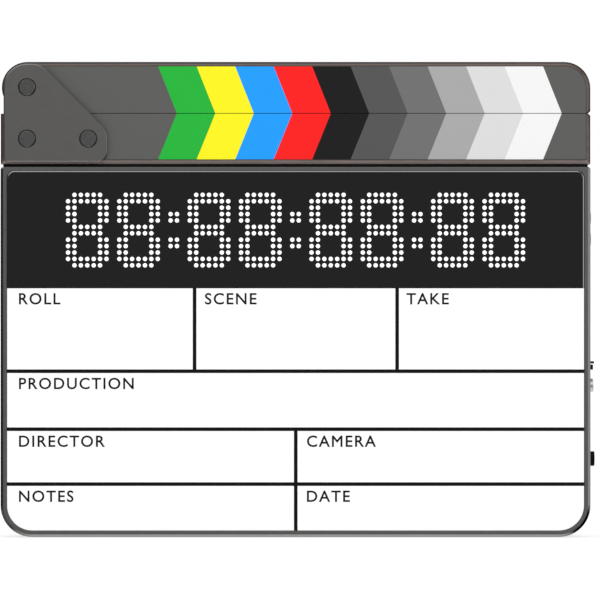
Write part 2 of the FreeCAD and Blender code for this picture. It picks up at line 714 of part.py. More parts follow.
def port_cover_anchor():
    """A tab above the cover, bevelled below so that the open cover clears it, with a stem into the wall."""
    half = PORT_COVER_WIDTH / 2
    high = ANCHOR_BOTTOM + ANCHOR_HEIGHT
    bevel = PORT_COVER_THICKNESS / 2
    corners = [
        (REBATE_FLOOR, ANCHOR_BOTTOM, 0),
        (SIDE - bevel, ANCHOR_BOTTOM, 0),
        (SIDE, ANCHOR_BOTTOM + bevel, 0),
        (SIDE, high, 0),
        (REBATE_FLOOR, high, 0),
    ]
    tab = slab(corners, SOCKET_Y - half, SOCKET_Y + half)
    stem = rod_x(ANCHOR_STEM_RADIUS, INNER_SIDE, REBATE_FLOOR, SOCKET_Y, ANCHOR_LEVEL)
    head = rod_x(ANCHOR_HEAD_RADIUS, INNER_SIDE - ANCHOR_HEAD_LENGTH, INNER_SIDE, SOCKET_Y, ANCHOR_LEVEL)
    return join([tab, stem, head])


def timecode_jack():
    half_y = JACK_THICKNESS / 2
    half_z = JACK_HEIGHT / 2
    mouth = SIDE + JACK_PROUD
    case = block(INNER_SIDE - JACK_LENGTH, INNER_SIDE, JACK_Y - half_y, JACK_Y + half_y,
                 JACK_LEVEL - half_z, JACK_LEVEL + half_z)
    nose = rod_x(JACK_NOSE_RADIUS, INNER_SIDE, mouth, JACK_Y, JACK_LEVEL)
    return join([case, nose]).cut(rod_x(JACK_RADIUS, mouth - JACK_DEPTH, mouth + OVERRUN, JACK_Y, JACK_LEVEL))


def jack_nut():
    """A round nut on the jack's nose, with a slot across its face for a driver."""
    mouth = SIDE + JACK_PROUD
    rim = mouth - JACK_NUT_CHAMFER
    nut = join([
        rod_x(JACK_NUT_RADIUS, SIDE, rim, JACK_Y, JACK_LEVEL),
        cone_x(JACK_NUT_RADIUS, JACK_NUT_RADIUS - JACK_NUT_CHAMFER, rim, mouth, JACK_Y, JACK_LEVEL),
    ])
    floor = mouth - JACK_NUT_SLOT_DEPTH
    half = JACK_NUT_SLOT / 2
    reach = JACK_NUT_RADIUS + OVERRUN
    slot = block(floor, mouth + OVERRUN, JACK_Y - half, JACK_Y + half, JACK_LEVEL - reach, JACK_LEVEL + reach)
    hole = rod_x(JACK_NOSE_RADIUS + FIT, SIDE - OVERRUN, mouth + OVERRUN, JACK_Y, JACK_LEVEL)
    return nut.cut([slot, hole])


def knob_encoder():
    face = INNER_SIDE - ENCODER_SETBACK
    half = ENCODER_HEIGHT / 2
    case = block(face - ENCODER_LENGTH, face, CONTROL_BOARD_BACK, CONTROL_BOARD_BACK + ENCODER_THICKNESS,
                 KNOB_LEVEL - half, KNOB_LEVEL + half)
    nose = rod_x(ENCODER_NOSE_RADIUS, face, INNER_SIDE, KNOB_Y, KNOB_LEVEL)
    bore = rod_x(SHAFT_RADIUS + RUNNING_FIT, face - SHAFT_GRIP, INNER_SIDE + OVERRUN, KNOB_Y, KNOB_LEVEL)
    return join([case, nose]).cut(bore)


def knob_shaft():
    start = INNER_SIDE - ENCODER_SETBACK - SHAFT_GRIP
    return rod_x(SHAFT_RADIUS, start, SIDE + KNOB_CLEARANCE + KNOB_THICKNESS - KNOB_FACE, KNOB_Y, KNOB_LEVEL)


def side_knob():
    inner = SIDE + KNOB_CLEARANCE
    outer = inner + KNOB_THICKNESS
    knob = join([
        rod_x(KNOB_RADIUS, inner, outer - KNOB_CHAMFER, KNOB_Y, KNOB_LEVEL),
        cone_x(KNOB_RADIUS, KNOB_RADIUS - KNOB_CHAMFER, outer - KNOB_CHAMFER, outer, KNOB_Y, KNOB_LEVEL),
    ])
    cuts = [rod_x(SHAFT_RADIUS + FIT, inner - OVERRUN, outer - KNOB_FACE, KNOB_Y, KNOB_LEVEL)]
    for n in range(KNOB_GROOVES):
        turn = math.tau * n / KNOB_GROOVES
        y = KNOB_Y + KNOB_RADIUS * math.cos(turn)
        z = KNOB_LEVEL + KNOB_RADIUS * math.sin(turn)
        cuts.append(rod_x(KNOB_GROOVE_RADIUS, inner - OVERRUN, outer + OVERRUN, y, z))
    return knob.cut(cuts)


def rear_cover():
    edge = COVER_INSET + SLIP
    cover = slab(board_corners(edge, edge, TOP_CORNER_RADIUS), COVER_FRONT, BACK)
    added = []
    for share in HOOK_PLACE_SHARES:
        x = BOARD_WIDTH * share
        added.append(block(x - HOOK_WIDTH / 2, x + HOOK_WIDTH / 2, COVER_FRONT - HOOK_THICKNESS, COVER_FRONT,
                           INNER_TOP - HOOK_LENGTH, INNER_TOP + HOOK_REACH))
    rib_middle = BOARD_WIDTH * RIB_CENTRE_SHARE
    rib_reach = BOARD_WIDTH * RIB_LENGTH_SHARE / 2
    for share in RIB_LEVEL_SHARES:
        level = BOARD_HEIGHT * share
        added.append(block(rib_middle - rib_reach, rib_middle + rib_reach, COVER_FRONT - RIB_HEIGHT,
                           COVER_FRONT, level - RIB_THICKNESS / 2, level + RIB_THICKNESS / 2))
    deep = BACK - INSERT_LENGTH - INSERT_BOSS_FLOOR
    added.append(rod_y(INSERT_BOSS_RADIUS, deep, COVER_FRONT, 0, TRIPOD_LEVEL))
    cover = join([cover] + added)
    cuts = [rod_y(INSERT_RADIUS + FIT, BACK - INSERT_LENGTH, BACK + OVERRUN, 0, TRIPOD_LEVEL)]
    neck = BACK - COVER_SCREW_HEAD_HEIGHT
    for x, z in cover_screw_places():
        cuts.append(rod_y(COVER_SCREW_RADIUS + FIT, COVER_FRONT - OVERRUN, BACK, x, z))
        cuts.append(cone_y(COVER_SCREW_RADIUS + FIT, COVER_SCREW_HEAD_RADIUS + FIT, neck, BACK, x, z))
    for x, z in foot_places():
        cuts.append(rod_y(FOOT_RADIUS + FIT, BACK - FOOT_SINK, BACK + OVERRUN, x, z))
    return cover.cut(cuts)


def cover_screws():
    neck = BACK - COVER_SCREW_HEAD_HEIGHT
    screws = []
    for x, z in cover_screw_places():
        head = cone_y(COVER_SCREW_RADIUS, COVER_SCREW_HEAD_RADIUS, neck, BACK, x, z)
        shank = rod_y(COVER_SCREW_RADIUS, BACK - COVER_SCREW_LENGTH, neck, x, z)
        screws.append(join([head, shank]))
    return group(screws)


def tripod_insert():
    sleeve = rod_y(INSERT_RADIUS, BACK - INSERT_LENGTH, BACK, 0, TRIPOD_LEVEL)
    return sleeve.cut(rod_y(THREAD_RADIUS, BACK - THREAD_DEPTH, BACK + OVERRUN, 0, TRIPOD_LEVEL))


def foot_places():
    reach = SIDE - FOOT_EDGE
    return [(sx * reach, z) for sx in (-1, 1) for z in (FOOT_EDGE, BOARD_HEIGHT - FOOT_EDGE)]


def rear_feet():
    bottom = BACK - FOOT_SINK
    return group([rod_y(FOOT_RADIUS, bottom, bottom + FOOT_HEIGHT, x, z) for x, z in foot_places()])


def stick_gasket():
    reach = SIDE - GASKET_INSET
    front = STICK_FRONT + GASKET_INSET
    strip = block(-reach, reach, front, -front, BOARD_HEIGHT, LOWER_STICK_BOTTOM)
    bottom = BOARD_HEIGHT - OVERRUN
    top = LOWER_STICK_BOTTOM + OVERRUN
    return strip.cut([rod_z(STICK_BOLT_RADIUS + FIT, bottom, top, x, 0) for x in stick_bolt_places()])


def stick_bolts():
    bolts = []
    for x in stick_bolt_places():
        head = rod_z(STICK_BOLT_HEAD_RADIUS, INNER_TOP - STICK_BOLT_HEAD_HEIGHT, INNER_TOP, x, 0)
        shank = rod_z(STICK_BOLT_RADIUS, INNER_TOP, LOWER_STICK_BOTTOM + STICK_BOLT_REACH, x, 0)
        bolts.append(join([head, shank]))
    return group(bolts)


def seam_corner(inset):
    """The cut at a stick's free end by the seam: larger on the outline than on the face."""
    return SEAM_FACE_CORNER if inset else SEAM_CORNER


def lower_corners(inset):
    reach = SIDE - inset
    bottom = LOWER_STICK_BOTTOM + inset
    top = LOWER_STICK_TOP
    cut = seam_corner(inset)
    return [(-reach, bottom, 0), (reach, bottom, 0), (reach, top - cut, 0), (reach - cut, top, 0),
            (-reach, top, 0)]


def upper_wire(inset, y):
    """The upper stick's outline: a round end about the pivot, a flat seam edge and one round corner."""
    right = SIDE - inset
    top = UPPER_STICK_TOP - inset
    bend = UPPER_CORNER_RADIUS - inset
    corner = at(right - bend, y, top - bend)
    lean = bend * math.cos(math.pi / 4)
    left = PIVOT_X - UPPER_STICK_HEIGHT / 2 + inset
    seam_left = at(PIVOT_X, y, UPPER_STICK_BOTTOM)
    cut = seam_corner(inset)
    seam_right = at(right - cut, y, UPPER_STICK_BOTTOM)
    cut_end = at(right, y, UPPER_STICK_BOTTOM + cut)
    bend_start = at(right, y, top - bend)
    bend_end = at(right - bend, y, top)
    top_left = at(PIVOT_X, y, top)
    return Part.Wire([
        Part.makeLine(seam_left, seam_right),
        Part.makeLine(seam_right, cut_end),
        Part.makeLine(cut_end, bend_start),
        Part.Arc(bend_start, corner + at(lean, 0, lean), bend_end).toShape(),
        Part.makeLine(bend_end, top_left),
        Part.Arc(top_left, at(left, y, PIVOT_LEVEL), seam_left).toShape(),
    ])


def stick_from(wire_at):
    """A stick with both long faces drawn in by a chamfer; wire_at gives its outline by inset and depth."""
    front = STICK_FRONT + STICK_CHAMFER
    back = STICK_BACK - STICK_CHAMFER
    core = Part.Face(wire_at(0, front)).extrude(at(0, back - front, 0))
    front_edge = Part.makeLoft([wire_at(STICK_CHAMFER, STICK_FRONT), wire_at(0, front)], True, True)
    back_edge = Part.makeLoft([wire_at(0, back), wire_at(STICK_CHAMFER, STICK_BACK)], True, True)
    return join([core, front_edge, back_edge])


def magnet_places():
    return [BOARD_WIDTH * share for share in MAGNET_PLACE_SHARES]


def lower_stick():
    stick = stick_from(lambda inset, y: outline(lower_corners(inset), y))
    bolt_top = LOWER_STICK_BOTTOM + STICK_BOLT_REACH
    cuts = [rod_z(STICK_BOLT_RADIUS + FIT, LOWER_STICK_BOTTOM - OVERRUN, bolt_top, x, 0)
            for x in stick_bolt_places()]
    cuts += [rod_y(POST_RADIUS + FIT, STICK_FRONT - OVERRUN, STICK_BACK + OVERRUN, x, z)
             for x, z in plate_screw_places()]
    deep = MAGNET_HEIGHT + MAGNET_SINK
    cuts += [rod_z(MAGNET_RADIUS + FIT, LOWER_STICK_TOP - deep, LOWER_STICK_TOP + OVERRUN, x, 0)
             for x in magnet_places()]
    cuts.append(sensor_box(SLIP, LOWER_STICK_BOTTOM - OVERRUN))
    return stick.cut(cuts)


def sensor_box(gap, bottom):
    x = BOARD_WIDTH * SENSOR_PLACE_SHARE
    half_x = SENSOR_LENGTH / 2 + gap
    half_y = SENSOR_DEPTH / 2 + gap
    return block(x - half_x, x + half_x, -half_y, half_y, bottom, LOWER_STICK_BOTTOM + SENSOR_RISE)


def clap_sensor():
    return sensor_box(0, LOWER_STICK_BOTTOM + SENSOR_RISE - SENSOR_HEIGHT)


def upper_stick():
    stick = stick_from(upper_wire)
    deep = MAGNET_HEIGHT + MAGNET_SINK
    cuts = [rod_z(MAGNET_RADIUS + FIT, UPPER_STICK_BOTTOM - OVERRUN, UPPER_STICK_BOTTOM + deep, x, 0)
            for x in magnet_places()]
    cuts.append(rod_y(BUSH_RADIUS + FIT, STICK_FRONT - OVERRUN, STICK_BACK + OVERRUN, PIVOT_X, PIVOT_LEVEL))
    return stick.cut(cuts)


def magnets(bottom):
    return group([rod_z(MAGNET_RADIUS, bottom, bottom + MAGNET_HEIGHT, x, 0) for x in magnet_places()])


def diagonal_x(level, reach):
    """Where a line at 45 degrees, this far from the pivot, crosses a level."""
    return PIVOT_X + reach / math.cos(math.pi / 4) - (level - PIVOT_LEVEL)


def lower_stick_label():
    right = SIDE - LABEL_INSET
    bottom = LOWER_STICK_BOTTOM + LABEL_INSET
    top = LOWER_STICK_TOP
    left = PLATE_RIGHT - LABEL_TUCK
    tucked = PLATE_DIAGONAL - LABEL_TUCK
    bend = PIVOT_LEVEL - (left - diagonal_x(PIVOT_LEVEL, tucked))
    corners = [(left, bottom, 0), (right, bottom, 0), (right, top, 0), (diagonal_x(top, tucked), top, 0),
               (left, bend, 0)]
    return slab(corners, STICK_FRONT - LABEL_THICKNESS, STICK_FRONT)


def upper_stick_label():
    right = SIDE - LABEL_INSET
    bottom = UPPER_STICK_BOTTOM
    top = UPPER_STICK_TOP - LABEL_INSET
    tucked = PLATE_DIAGONAL - LABEL_TUCK
    corners = [(diagonal_x(bottom, tucked), bottom, 0), (right, bottom, 0),
               (right, top, UPPER_CORNER_RADIUS - LABEL_INSET), (diagonal_x(top, tucked), top, 0)]
    return slab(corners, STICK_FRONT - LABEL_THICKNESS, STICK_FRONT)


def plate_corners(inset):
    left = PIVOT_X - UPPER_STICK_HEIGHT / 2 + PLATE_EDGE_INSET + inset
    top = UPPER_STICK_TOP - PLATE_EDGE_INSET - inset
    bottom = LOWER_STICK_BOTTOM + PLATE_EDGE_INSET + inset
    right = PLATE_RIGHT - inset
    diagonal = PLATE_DIAGONAL - inset
    turn = PIVOT_LEVEL - (right - diagonal_x(PIVOT_LEVEL, diagonal))
    return [
        (left, bottom, PLATE_HEEL_RADIUS - inset),
        (right, bottom, PLATE_TOE_RADIUS - inset),
        (right, turn, PLATE_BEND_RADIUS - inset),
        (diagonal_x(top, diagonal), top, PLATE_BEND_RADIUS - inset),
        (left, top, UPPER_STICK_HEIGHT / 2 - PLATE_EDGE_INSET - inset),
    ]


def hinge_plate():
    """The front plate: a cranked outline with a chamfered face and three sunk seats."""
    face = -PLATE_OUTER
    plate = join([
        taper(plate_corners(PLATE_CHAMFER), face, plate_corners(0), face + PLATE_CHAMFER),
        slab(plate_corners(0), face + PLATE_CHAMFER, -PLATE_INNER),
    ])
    cuts = []
    for x, z in plate_screw_places() + [(PIVOT_X, PIVOT_LEVEL)]:
        cuts.append(rod_y(POST_RADIUS + FIT, face - OVERRUN, -PLATE_INNER + OVERRUN, x, z))
        cuts.append(rod_y(HEAD_RADIUS + HEAD_GAP, face - OVERRUN, -HEAD_SEAT, x, z))
    return plate.cut(cuts)


def rear_of(shape):
    """The same piece turned over to the back of the sticks."""
    return shape.mirror(at(0, 0, 0), BACKWARD)


def hinge_head(x, z):
    """A round head on the front, with a chamfered rim."""
    face = -PLATE_OUTER - HEAD_PROUD
    return join([
        rod_y(HEAD_RADIUS, face + HEAD_CHAMFER, -HEAD_SEAT, x, z),
        cone_y(HEAD_RADIUS - HEAD_CHAMFER, HEAD_RADIUS, face, face + HEAD_CHAMFER, x, z),
    ])


def hinge_screw(x, z):
    shank = rod_y(HINGE_SCREW_RADIUS, -HEAD_SEAT, -HEAD_SEAT + HINGE_SCREW_LENGTH, x, z)
    return join([hinge_head(x, z), shank])


def hinge_post(x, z):
    sleeve = rod_y(POST_RADIUS, -HEAD_SEAT, HEAD_SEAT, x, z)
    bore = rod_y(HINGE_SCREW_RADIUS + FIT, -HEAD_SEAT - OVERRUN, -HEAD_SEAT + POST_BORE_DEPTH, x, z)
    return join([sleeve.cut(bore), rear_of(hinge_head(x, z))])


def washer(x, z, thickness):
    ring = rod_y(WASHER_RADIUS, -PLATE_INNER, -PLATE_INNER + thickness, x, z)
    return ring.cut(rod_y(POST_RADIUS + FIT, -PLATE_INNER - OVERRUN, STICK_FRONT + OVERRUN, x, z))


def washers(places, thickness):
    fronts = [washer(x, z, thickness) for x, z in places]
    return group(fronts + [rear_of(ring) for ring in fronts])


def pivot_bush():
    bush = rod_y(BUSH_RADIUS, STICK_FRONT, STICK_BACK, PIVOT_X, PIVOT_LEVEL)
    return bush.cut(rod_y(POST_RADIUS + RUNNING_FIT, STICK_FRONT - OVERRUN, STICK_BACK + OVERRUN,
                          PIVOT_X, PIVOT_LEVEL))


PIVOT = (PIVOT_X, PIVOT_LEVEL)

NODES = {
    "housing": housing(),
    "writing_board": writing_board(),
    "display_window": display_window(),
    "led_board": led_board(),
    "led_dots": led_dots(),
    "led_board_screws": board_screws(led_screw_places(), LED_BOARD_BACK, LED_BOARD_THICKNESS + DECK),
    "control_board": control_board(),
    "control_board_screws": board_screws(control_screw_places(), CONTROL_BOARD_BACK, STANDOFF_SCREW_LENGTH),
    "battery_pack": battery_pack(),
    "battery_strap": battery_strap(),
    "battery_strap_screws": board_screws(strap_screw_places(), STRAP_FOOT_BACK, STRAP_THICKNESS + DECK),
    "ribbon_cable": ribbon_cable(),
    "side_button_upper": side_button(UPPER_BUTTON_LEVEL),
    "side_button_lower": side_button(LOWER_BUTTON_LEVEL),
    "button_switches": button_switches(),
    "usb_socket": usb_socket(),
    "port_cover": port_cover(),
    "port_cover_anchor": port_cover_anchor(),
    "timecode_jack": timecode_jack(),
    "jack_nut": jack_nut(),
    "knob_encoder": knob_encoder(),
    "knob_shaft": knob_shaft(),
    "side_knob": side_knob(),
    "rear_cover": rear_cover(),
    "cover_screws": cover_screws(),
    "tripod_insert": tripod_insert(),
    "rear_feet": rear_feet(),
    "stick_gasket": stick_gasket(),
    "stick_bolts": stick_bolts(),
    "lower_stick": lower_stick(),
    "lower_stick_label": lower_stick_label(),
    "lower_magnets": magnets(LOWER_STICK_TOP - MAGNET_SINK - MAGNET_HEIGHT),
    "clap_sensor": clap_sensor(),
    "upper_stick": upper_stick(),
    "upper_stick_label": upper_stick_label(),
    "upper_magnets": magnets(UPPER_STICK_BOTTOM + MAGNET_SINK),
    "pivot_bush": pivot_bush(),
    "hinge_plate_front": hinge_plate(),
    "hinge_plate_rear": rear_of(hinge_plate()),
    "pivot_screw": hinge_screw(*PIVOT),
    "pivot_post": hinge_post(*PIVOT),
    "pivot_washers": washers([PIVOT], WASHER_GAP - WASHER_PLAY),
    "plate_screws": group([hinge_screw(x, z) for x, z in plate_screw_places()]),
    "plate_posts": group([hinge_post(x, z) for x, z in plate_screw_places()]),
    "plate_washers": washers(plate_screw_places(), WASHER_GAP),
}

os.makedirs("parts", exist_ok=True)
for name, shape in NODES.items():
    shape.exportStep("parts/" + name + ".step")
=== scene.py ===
# %% [markdown]
# # A clapperboard with a dot display
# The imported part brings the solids, each at its place: the frame, the panels, the sticks and the hinge.
# This lesson dresses them. It gives every solid a finish, then models what a solid modeller leaves out: the
# printed stripes, the ruled lines and field words, the lens over each lamp, screw sockets, a camera thread
# and soft feet. Lengths are in metres, with X to the right, Y to the back and Z up.

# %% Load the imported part
import json
import math

import bmesh
import bpy
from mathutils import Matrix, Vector


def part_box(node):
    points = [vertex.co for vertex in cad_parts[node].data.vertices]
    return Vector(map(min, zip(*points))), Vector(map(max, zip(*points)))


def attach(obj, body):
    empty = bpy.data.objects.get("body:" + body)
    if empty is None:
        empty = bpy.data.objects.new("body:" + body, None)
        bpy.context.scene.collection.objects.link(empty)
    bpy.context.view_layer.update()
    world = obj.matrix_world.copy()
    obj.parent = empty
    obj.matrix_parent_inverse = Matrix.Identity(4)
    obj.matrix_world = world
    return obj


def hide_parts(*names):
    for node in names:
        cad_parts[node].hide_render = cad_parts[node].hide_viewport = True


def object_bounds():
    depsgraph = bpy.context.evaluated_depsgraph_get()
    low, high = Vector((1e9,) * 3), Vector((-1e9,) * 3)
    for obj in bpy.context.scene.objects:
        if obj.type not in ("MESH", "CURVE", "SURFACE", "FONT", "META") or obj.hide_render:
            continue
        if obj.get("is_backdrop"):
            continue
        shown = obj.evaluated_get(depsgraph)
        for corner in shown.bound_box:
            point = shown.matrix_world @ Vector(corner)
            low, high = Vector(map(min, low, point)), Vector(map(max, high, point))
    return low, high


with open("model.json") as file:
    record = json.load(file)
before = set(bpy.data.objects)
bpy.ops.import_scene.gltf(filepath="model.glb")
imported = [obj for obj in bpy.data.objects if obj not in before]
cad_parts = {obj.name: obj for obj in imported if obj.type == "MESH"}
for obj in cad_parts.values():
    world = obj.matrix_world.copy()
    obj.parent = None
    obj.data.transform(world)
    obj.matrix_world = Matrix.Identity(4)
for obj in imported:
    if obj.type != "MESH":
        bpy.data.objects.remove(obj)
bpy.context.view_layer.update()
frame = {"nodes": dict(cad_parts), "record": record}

NODES = frame["nodes"]
SLOT_OF = {row["node"]: row["material_slot"] for row in frame["record"]["subparts"]}

# %% [markdown]
# ## Finishes
# A flat colour looks like a model, not like a thing. Each finish here is one Principled shader with some
# noise on the object's own coordinates: a slow one for the tint, a fine one for gloss and relief. A picture
# as a texture would need unwrapping and would stretch, while noise fits any solid. One helper adds a node
# and fills its sockets, with a plain value or with a wire from another node.

# %% Add nodes, mixes and ramps
MM = 0.001


def add(tree, kind, sockets, **options):
    """Adds a node, sets its options, and gives its sockets a value or a wire."""
    node = tree.nodes.new("ShaderNode" + kind)
    for option, value in options.items():
        setattr(node, option, value)
    for socket, value in sockets.items():
        if isinstance(value, bpy.types.NodeSocket):
            tree.links.new(value, node.inputs[socket])
        else:
            node.inputs[socket].default_value = value
    return node


def even(light):
    """The same light in red, green and blue."""
    return (light, light, light)


def opaque(colour):
    """A colour that nothing shows through."""
    return (*colour, 1.0)


def mixed(tree, factor, first, second, **options):
    """The first colour at factor 0, the second at factor 1."""
    sockets = {"Factor": factor, "A": first, "B": second}
    return add(tree, "Mix", sockets, data_type="RGBA", **options).outputs["Result"]


def ramp(tree, factor, stops):
    """Turns a factor into a colour, by stops of a position and a colour."""
    node = add(tree, "ValToRGB", {"Fac": factor})
    first, last = node.color_ramp.elements
    first.position, first.color = stops[0]
    last.position, last.color = stops[-1]
    for position, colour in stops[1:-1]:
        node.color_ramp.elements.new(position).color = colour
    return node.outputs["Color"]


print("one millimetre is", MM, "m")

# %% [markdown]
# ### Tint, gloss and relief
# Every finish needs the same few things from a noise: a base colour that wanders between two tints, a gloss
# that isn't the same everywhere, and a fine relief. The scale of a noise counts its specks per metre, so
# 5000 gives specks of a fifth of a millimetre. Most of a noise lies between 0.3 and 0.7, so that span is
# spread.


# %% Start a finish
def shader_of(material):
    """The Principled shader of a material."""
    return material.node_tree.nodes["Principled BSDF"]


def feed(material, socket, value):
    """Wires a value to a socket of the shader."""
    material.node_tree.links.new(value, shader_of(material).inputs[socket])


def fed(material, socket):
    """What is wired to a socket of the shader."""
    return shader_of(material).inputs[socket].links[0].from_socket


def finish(name, metallic=0.0, specular=0.5):
    """Starts a finish."""
    material = bpy.data.materials.new(name)
    material.use_nodes = True
    shader_of(material).inputs["Metallic"].default_value = metallic
    shader_of(material).inputs["Specular IOR Level"].default_value = specular
    return material


def specks(material, per_metre, detail=2.0, stretch=(1.0, 1.0, 1.0)):
    """Noise on the object's own coordinates."""
    tree = material.node_tree
    where = add(tree, "TexCoord", {})
    mapping = add(tree, "Mapping", {"Vector": where.outputs["Object"], "Scale": stretch})
    sockets = {"Vector": mapping.outputs["Vector"], "Scale": per_metre, "Detail": detail}
    return add(tree, "TexNoise", sockets).outputs["Fac"]


print("5000 specks per metre are", round(1 / 5000 / MM, 3), "mm apart")

# %% Spread a noise over the shader
NOISE_LOW, NOISE_HIGH = 0.3, 0.7
EDGE_SAMPLES = 6


def times(colour, factor):
    """A colour made darker or lighter."""
    return tuple(min(1.0, value * factor) for value in colour)


def tint(material, factor, dark, light, low=NOISE_LOW, high=NOISE_HIGH):
    """Base colour from dark to light."""
    colour = ramp(material.node_tree, factor, ((low, opaque(dark)), (high, opaque(light))))
    feed(material, "Base Color", colour)


def polish(material, factor, low, high):
    """Roughness from low to high."""
    sockets = {"Value": factor, "From Min": NOISE_LOW, "From Max": NOISE_HIGH, "To Min": low, "To Max": high}
    spread = add(material.node_tree, "MapRange", sockets)
    feed(material, "Roughness", spread.outputs["Result"])


def relief(material, factor, strength, depth, edge=0.0):
    """Bump, over edges that catch light as if rounded by a small radius."""
    tree = material.node_tree
    bump = add(tree, "Bump", {"Height": factor, "Strength": strength, "Distance": depth})
    if edge:
        rounded = add(tree, "Bevel", {"Radius": edge}, samples=EDGE_SAMPLES)
        tree.links.new(rounded.outputs["Normal"], bump.inputs["Normal"])
    feed(material, "Normal", bump.outputs["Normal"])


print("a noise is spread from", NOISE_LOW, "to", NOISE_HIGH)

# %% [markdown]
# ### Metals
# The frame and the hinge plates are blasted and anodised aluminium: dark and even, with a fine dull
# sparkle. The frame's chamfers are cut after the blasting, so they are smoother than its faces. Fasteners
# are dark plated steel, and the brackets inside are bright zinc. Blasting is a fine bump with darker pits,
# anodising clouds the tint a little over a few millimetres, and narrow gaps, as around a screw head, get
# painted shade: their base colour is darkened. Chamfers could have a second material, but that would mean
# editing the solids' faces. The direction in which a face looks picks them as well.

# %% Pits, painted gap shade and cut chamfers
WHITE, BLACK = opaque(even(1.0)), opaque(even(0.0))
GAP_SAMPLES = 8
LEANING = ((0.50, BLACK), (0.62, WHITE), (0.80, WHITE), (0.92, BLACK))


def shade(material, factor, darkest, low, high):
    """Darkens the base colour where a factor is low."""
    tree = material.node_tree
    cover = ramp(tree, factor, ((low, opaque(even(darkest))), (high, WHITE)))
    colour = mixed(tree, 1.0, fed(material, "Base Color"), cover, blend_type="MULTIPLY")
    feed(material, "Base Color", colour)


def painted_gap_shade(material, reach):
    """Where shade is painted: 0 deep in a gap that is narrower than the reach, 1 in the open."""
    hollow = add(material.node_tree, "AmbientOcclusion", {"Distance": reach}, samples=GAP_SAMPLES)
    return hollow.outputs["AO"]


def facing(material, axis):
    """How far a face looks along an axis, from -1 to 1."""
    tree = material.node_tree
    where = add(tree, "TexCoord", {})
    return add(tree, "SeparateXYZ", {"Vector": where.outputs["Normal"]}).outputs[axis]


def either_way(material, value):
    """A value without its sign."""
    return add(material.node_tree, "Math", {0: value}, operation="ABSOLUTE").outputs["Value"]


def cut_chamfers(material, rough):
    """Smooths the faces that lean half way between the front or back and the sides."""
    tree = material.node_tree
    leaning = ramp(tree, either_way(material, facing(material, "Y")), LEANING)
    both = add(tree, "Mix", {"Factor": leaning, "A": fed(material, "Roughness"), "B": rough})
    feed(material, "Roughness", both.outputs["Result"])


print("a chamfer's normal along Y lies between", LEANING[0][0], "and", LEANING[-1][0])


# %% Metal finishes
def satin_metal(name, colour, rough, edge, cut=None):
    """Blasted metal; a cut is how rough its chamfers are."""
    material = finish(name, metallic=1.0)
    cloud = specks(material, per_metre=240.0, detail=5.0)
    blast = specks(material, per_metre=5200.0)
    tint(material, cloud, dark=times(colour, 0.975), light=times(colour, 1.025))
    shade(material, blast, darkest=0.86, low=0.36, high=0.60)
    # Painted shade: the base colour is darkened in narrow gaps.
    shade(material, painted_gap_shade(material, reach=0.6 * MM), darkest=0.10, low=0.25, high=0.70)
    polish(material, blast, low=rough - 0.08, high=rough + 0.10)
    if cut:
        cut_chamfers(material, cut)
    relief(material, blast, strength=0.22, depth=0.02 * MM, edge=edge)
    return material


def turned_metal(name, colour, rough):
    """Metal with the fine marks of a lathe, closest along Y."""
    material = finish(name, metallic=1.0)
    tool_marks = specks(material, per_metre=1.0, detail=3.0, stretch=(900.0, 5200.0, 900.0))
    tint(material, tool_marks, dark=times(colour, 0.88), light=times(colour, 1.06))
    polish(material, tool_marks, low=rough - 0.05, high=rough + 0.10)
    relief(material, tool_marks, strength=0.12, depth=0.02 * MM, edge=0.12 * MM)
    return material


FINISHES = {
    "frame_metal": satin_metal("frame_anodised", (0.187, 0.187, 0.184), rough=0.34, edge=0.25 * MM, cut=0.20),
    "plate_metal": satin_metal("plate_anodised", (0.196, 0.193, 0.187), rough=0.36, edge=0.2 * MM),
    "bolt_dark": turned_metal("bolt_dark_plate", (0.135, 0.135, 0.133), rough=0.34),
    "steel": turned_metal("zinc_plate", (0.56, 0.57, 0.58), rough=0.30),
    "brass": turned_metal("turned_brass", (0.62, 0.44, 0.16), rough=0.26),
    "magnet_nickel": turned_metal("magnet_plate", (0.66, 0.65, 0.62), rough=0.18),
}
print("metals:", sorted(FINISHES))

# %% [markdown]
# ### Panels
# The writing board is wiped clean many times a day, so its gloss has faint streaks along X, under a hard
# clear coat. The display window is polished black acrylic with a breath of smears, and its bevelled edge is
# bare bright metal. The edge could be a piece of its own, but here too the direction of a face tells the
# two apart.

# %% Panel finishes
NEARLY_FRONT, TURNED_AWAY = -0.97, -0.90


def turned_from_front(material):
    """0 on the faces that look to the front, 1 on those that turn away."""
    sockets = {"Value": facing(material, "Y"), "From Min": NEARLY_FRONT, "From Max": TURNED_AWAY}
    return add(material.node_tree, "MapRange", sockets).outputs["Result"]


def wiped_panel(name, colour):
    """Gloss paint with the streaks of a cloth, under a hard clear coat."""
    material = finish(name)
    streaks = specks(material, per_metre=1.0, detail=4.0, stretch=(9.0, 60.0, 130.0))
    peel = specks(material, per_metre=420.0, detail=1.0)
    tint(material, streaks, dark=times(colour, 0.985), light=colour)
    polish(material, streaks, low=0.13, high=0.24)
    relief(material, peel, strength=0.02, depth=0.05 * MM)
    shader_of(material).inputs["Coat Weight"].default_value = 0.35
    shader_of(material).inputs["Coat Roughness"].default_value = 0.06
    return material


def black_window(name, colour, edge):
    """Black acrylic, whose bevelled edge is bare bright metal."""
    material = finish(name, specular=0.35)
    smears = specks(material, per_metre=1.0, detail=4.0, stretch=(24.0, 24.0, 42.0))
    ripple = specks(material, per_metre=60.0, detail=1.0)
    polish(material, smears, low=0.06, high=0.14)
    relief(material, ripple, strength=0.015, depth=0.05 * MM)
    bevel = turned_from_front(material)
    tint(material, bevel, dark=colour, light=edge, low=0.4, high=0.6)
    feed(material, "Metallic", bevel)
    return material


FINISHES["board_white"] = wiped_panel("board_gloss_white", even(0.95))
FINISHES["window_smoke"] = black_window("window_gloss_black", even(0.0042), edge=even(0.25))
print("panels: board_white and window_smoke")

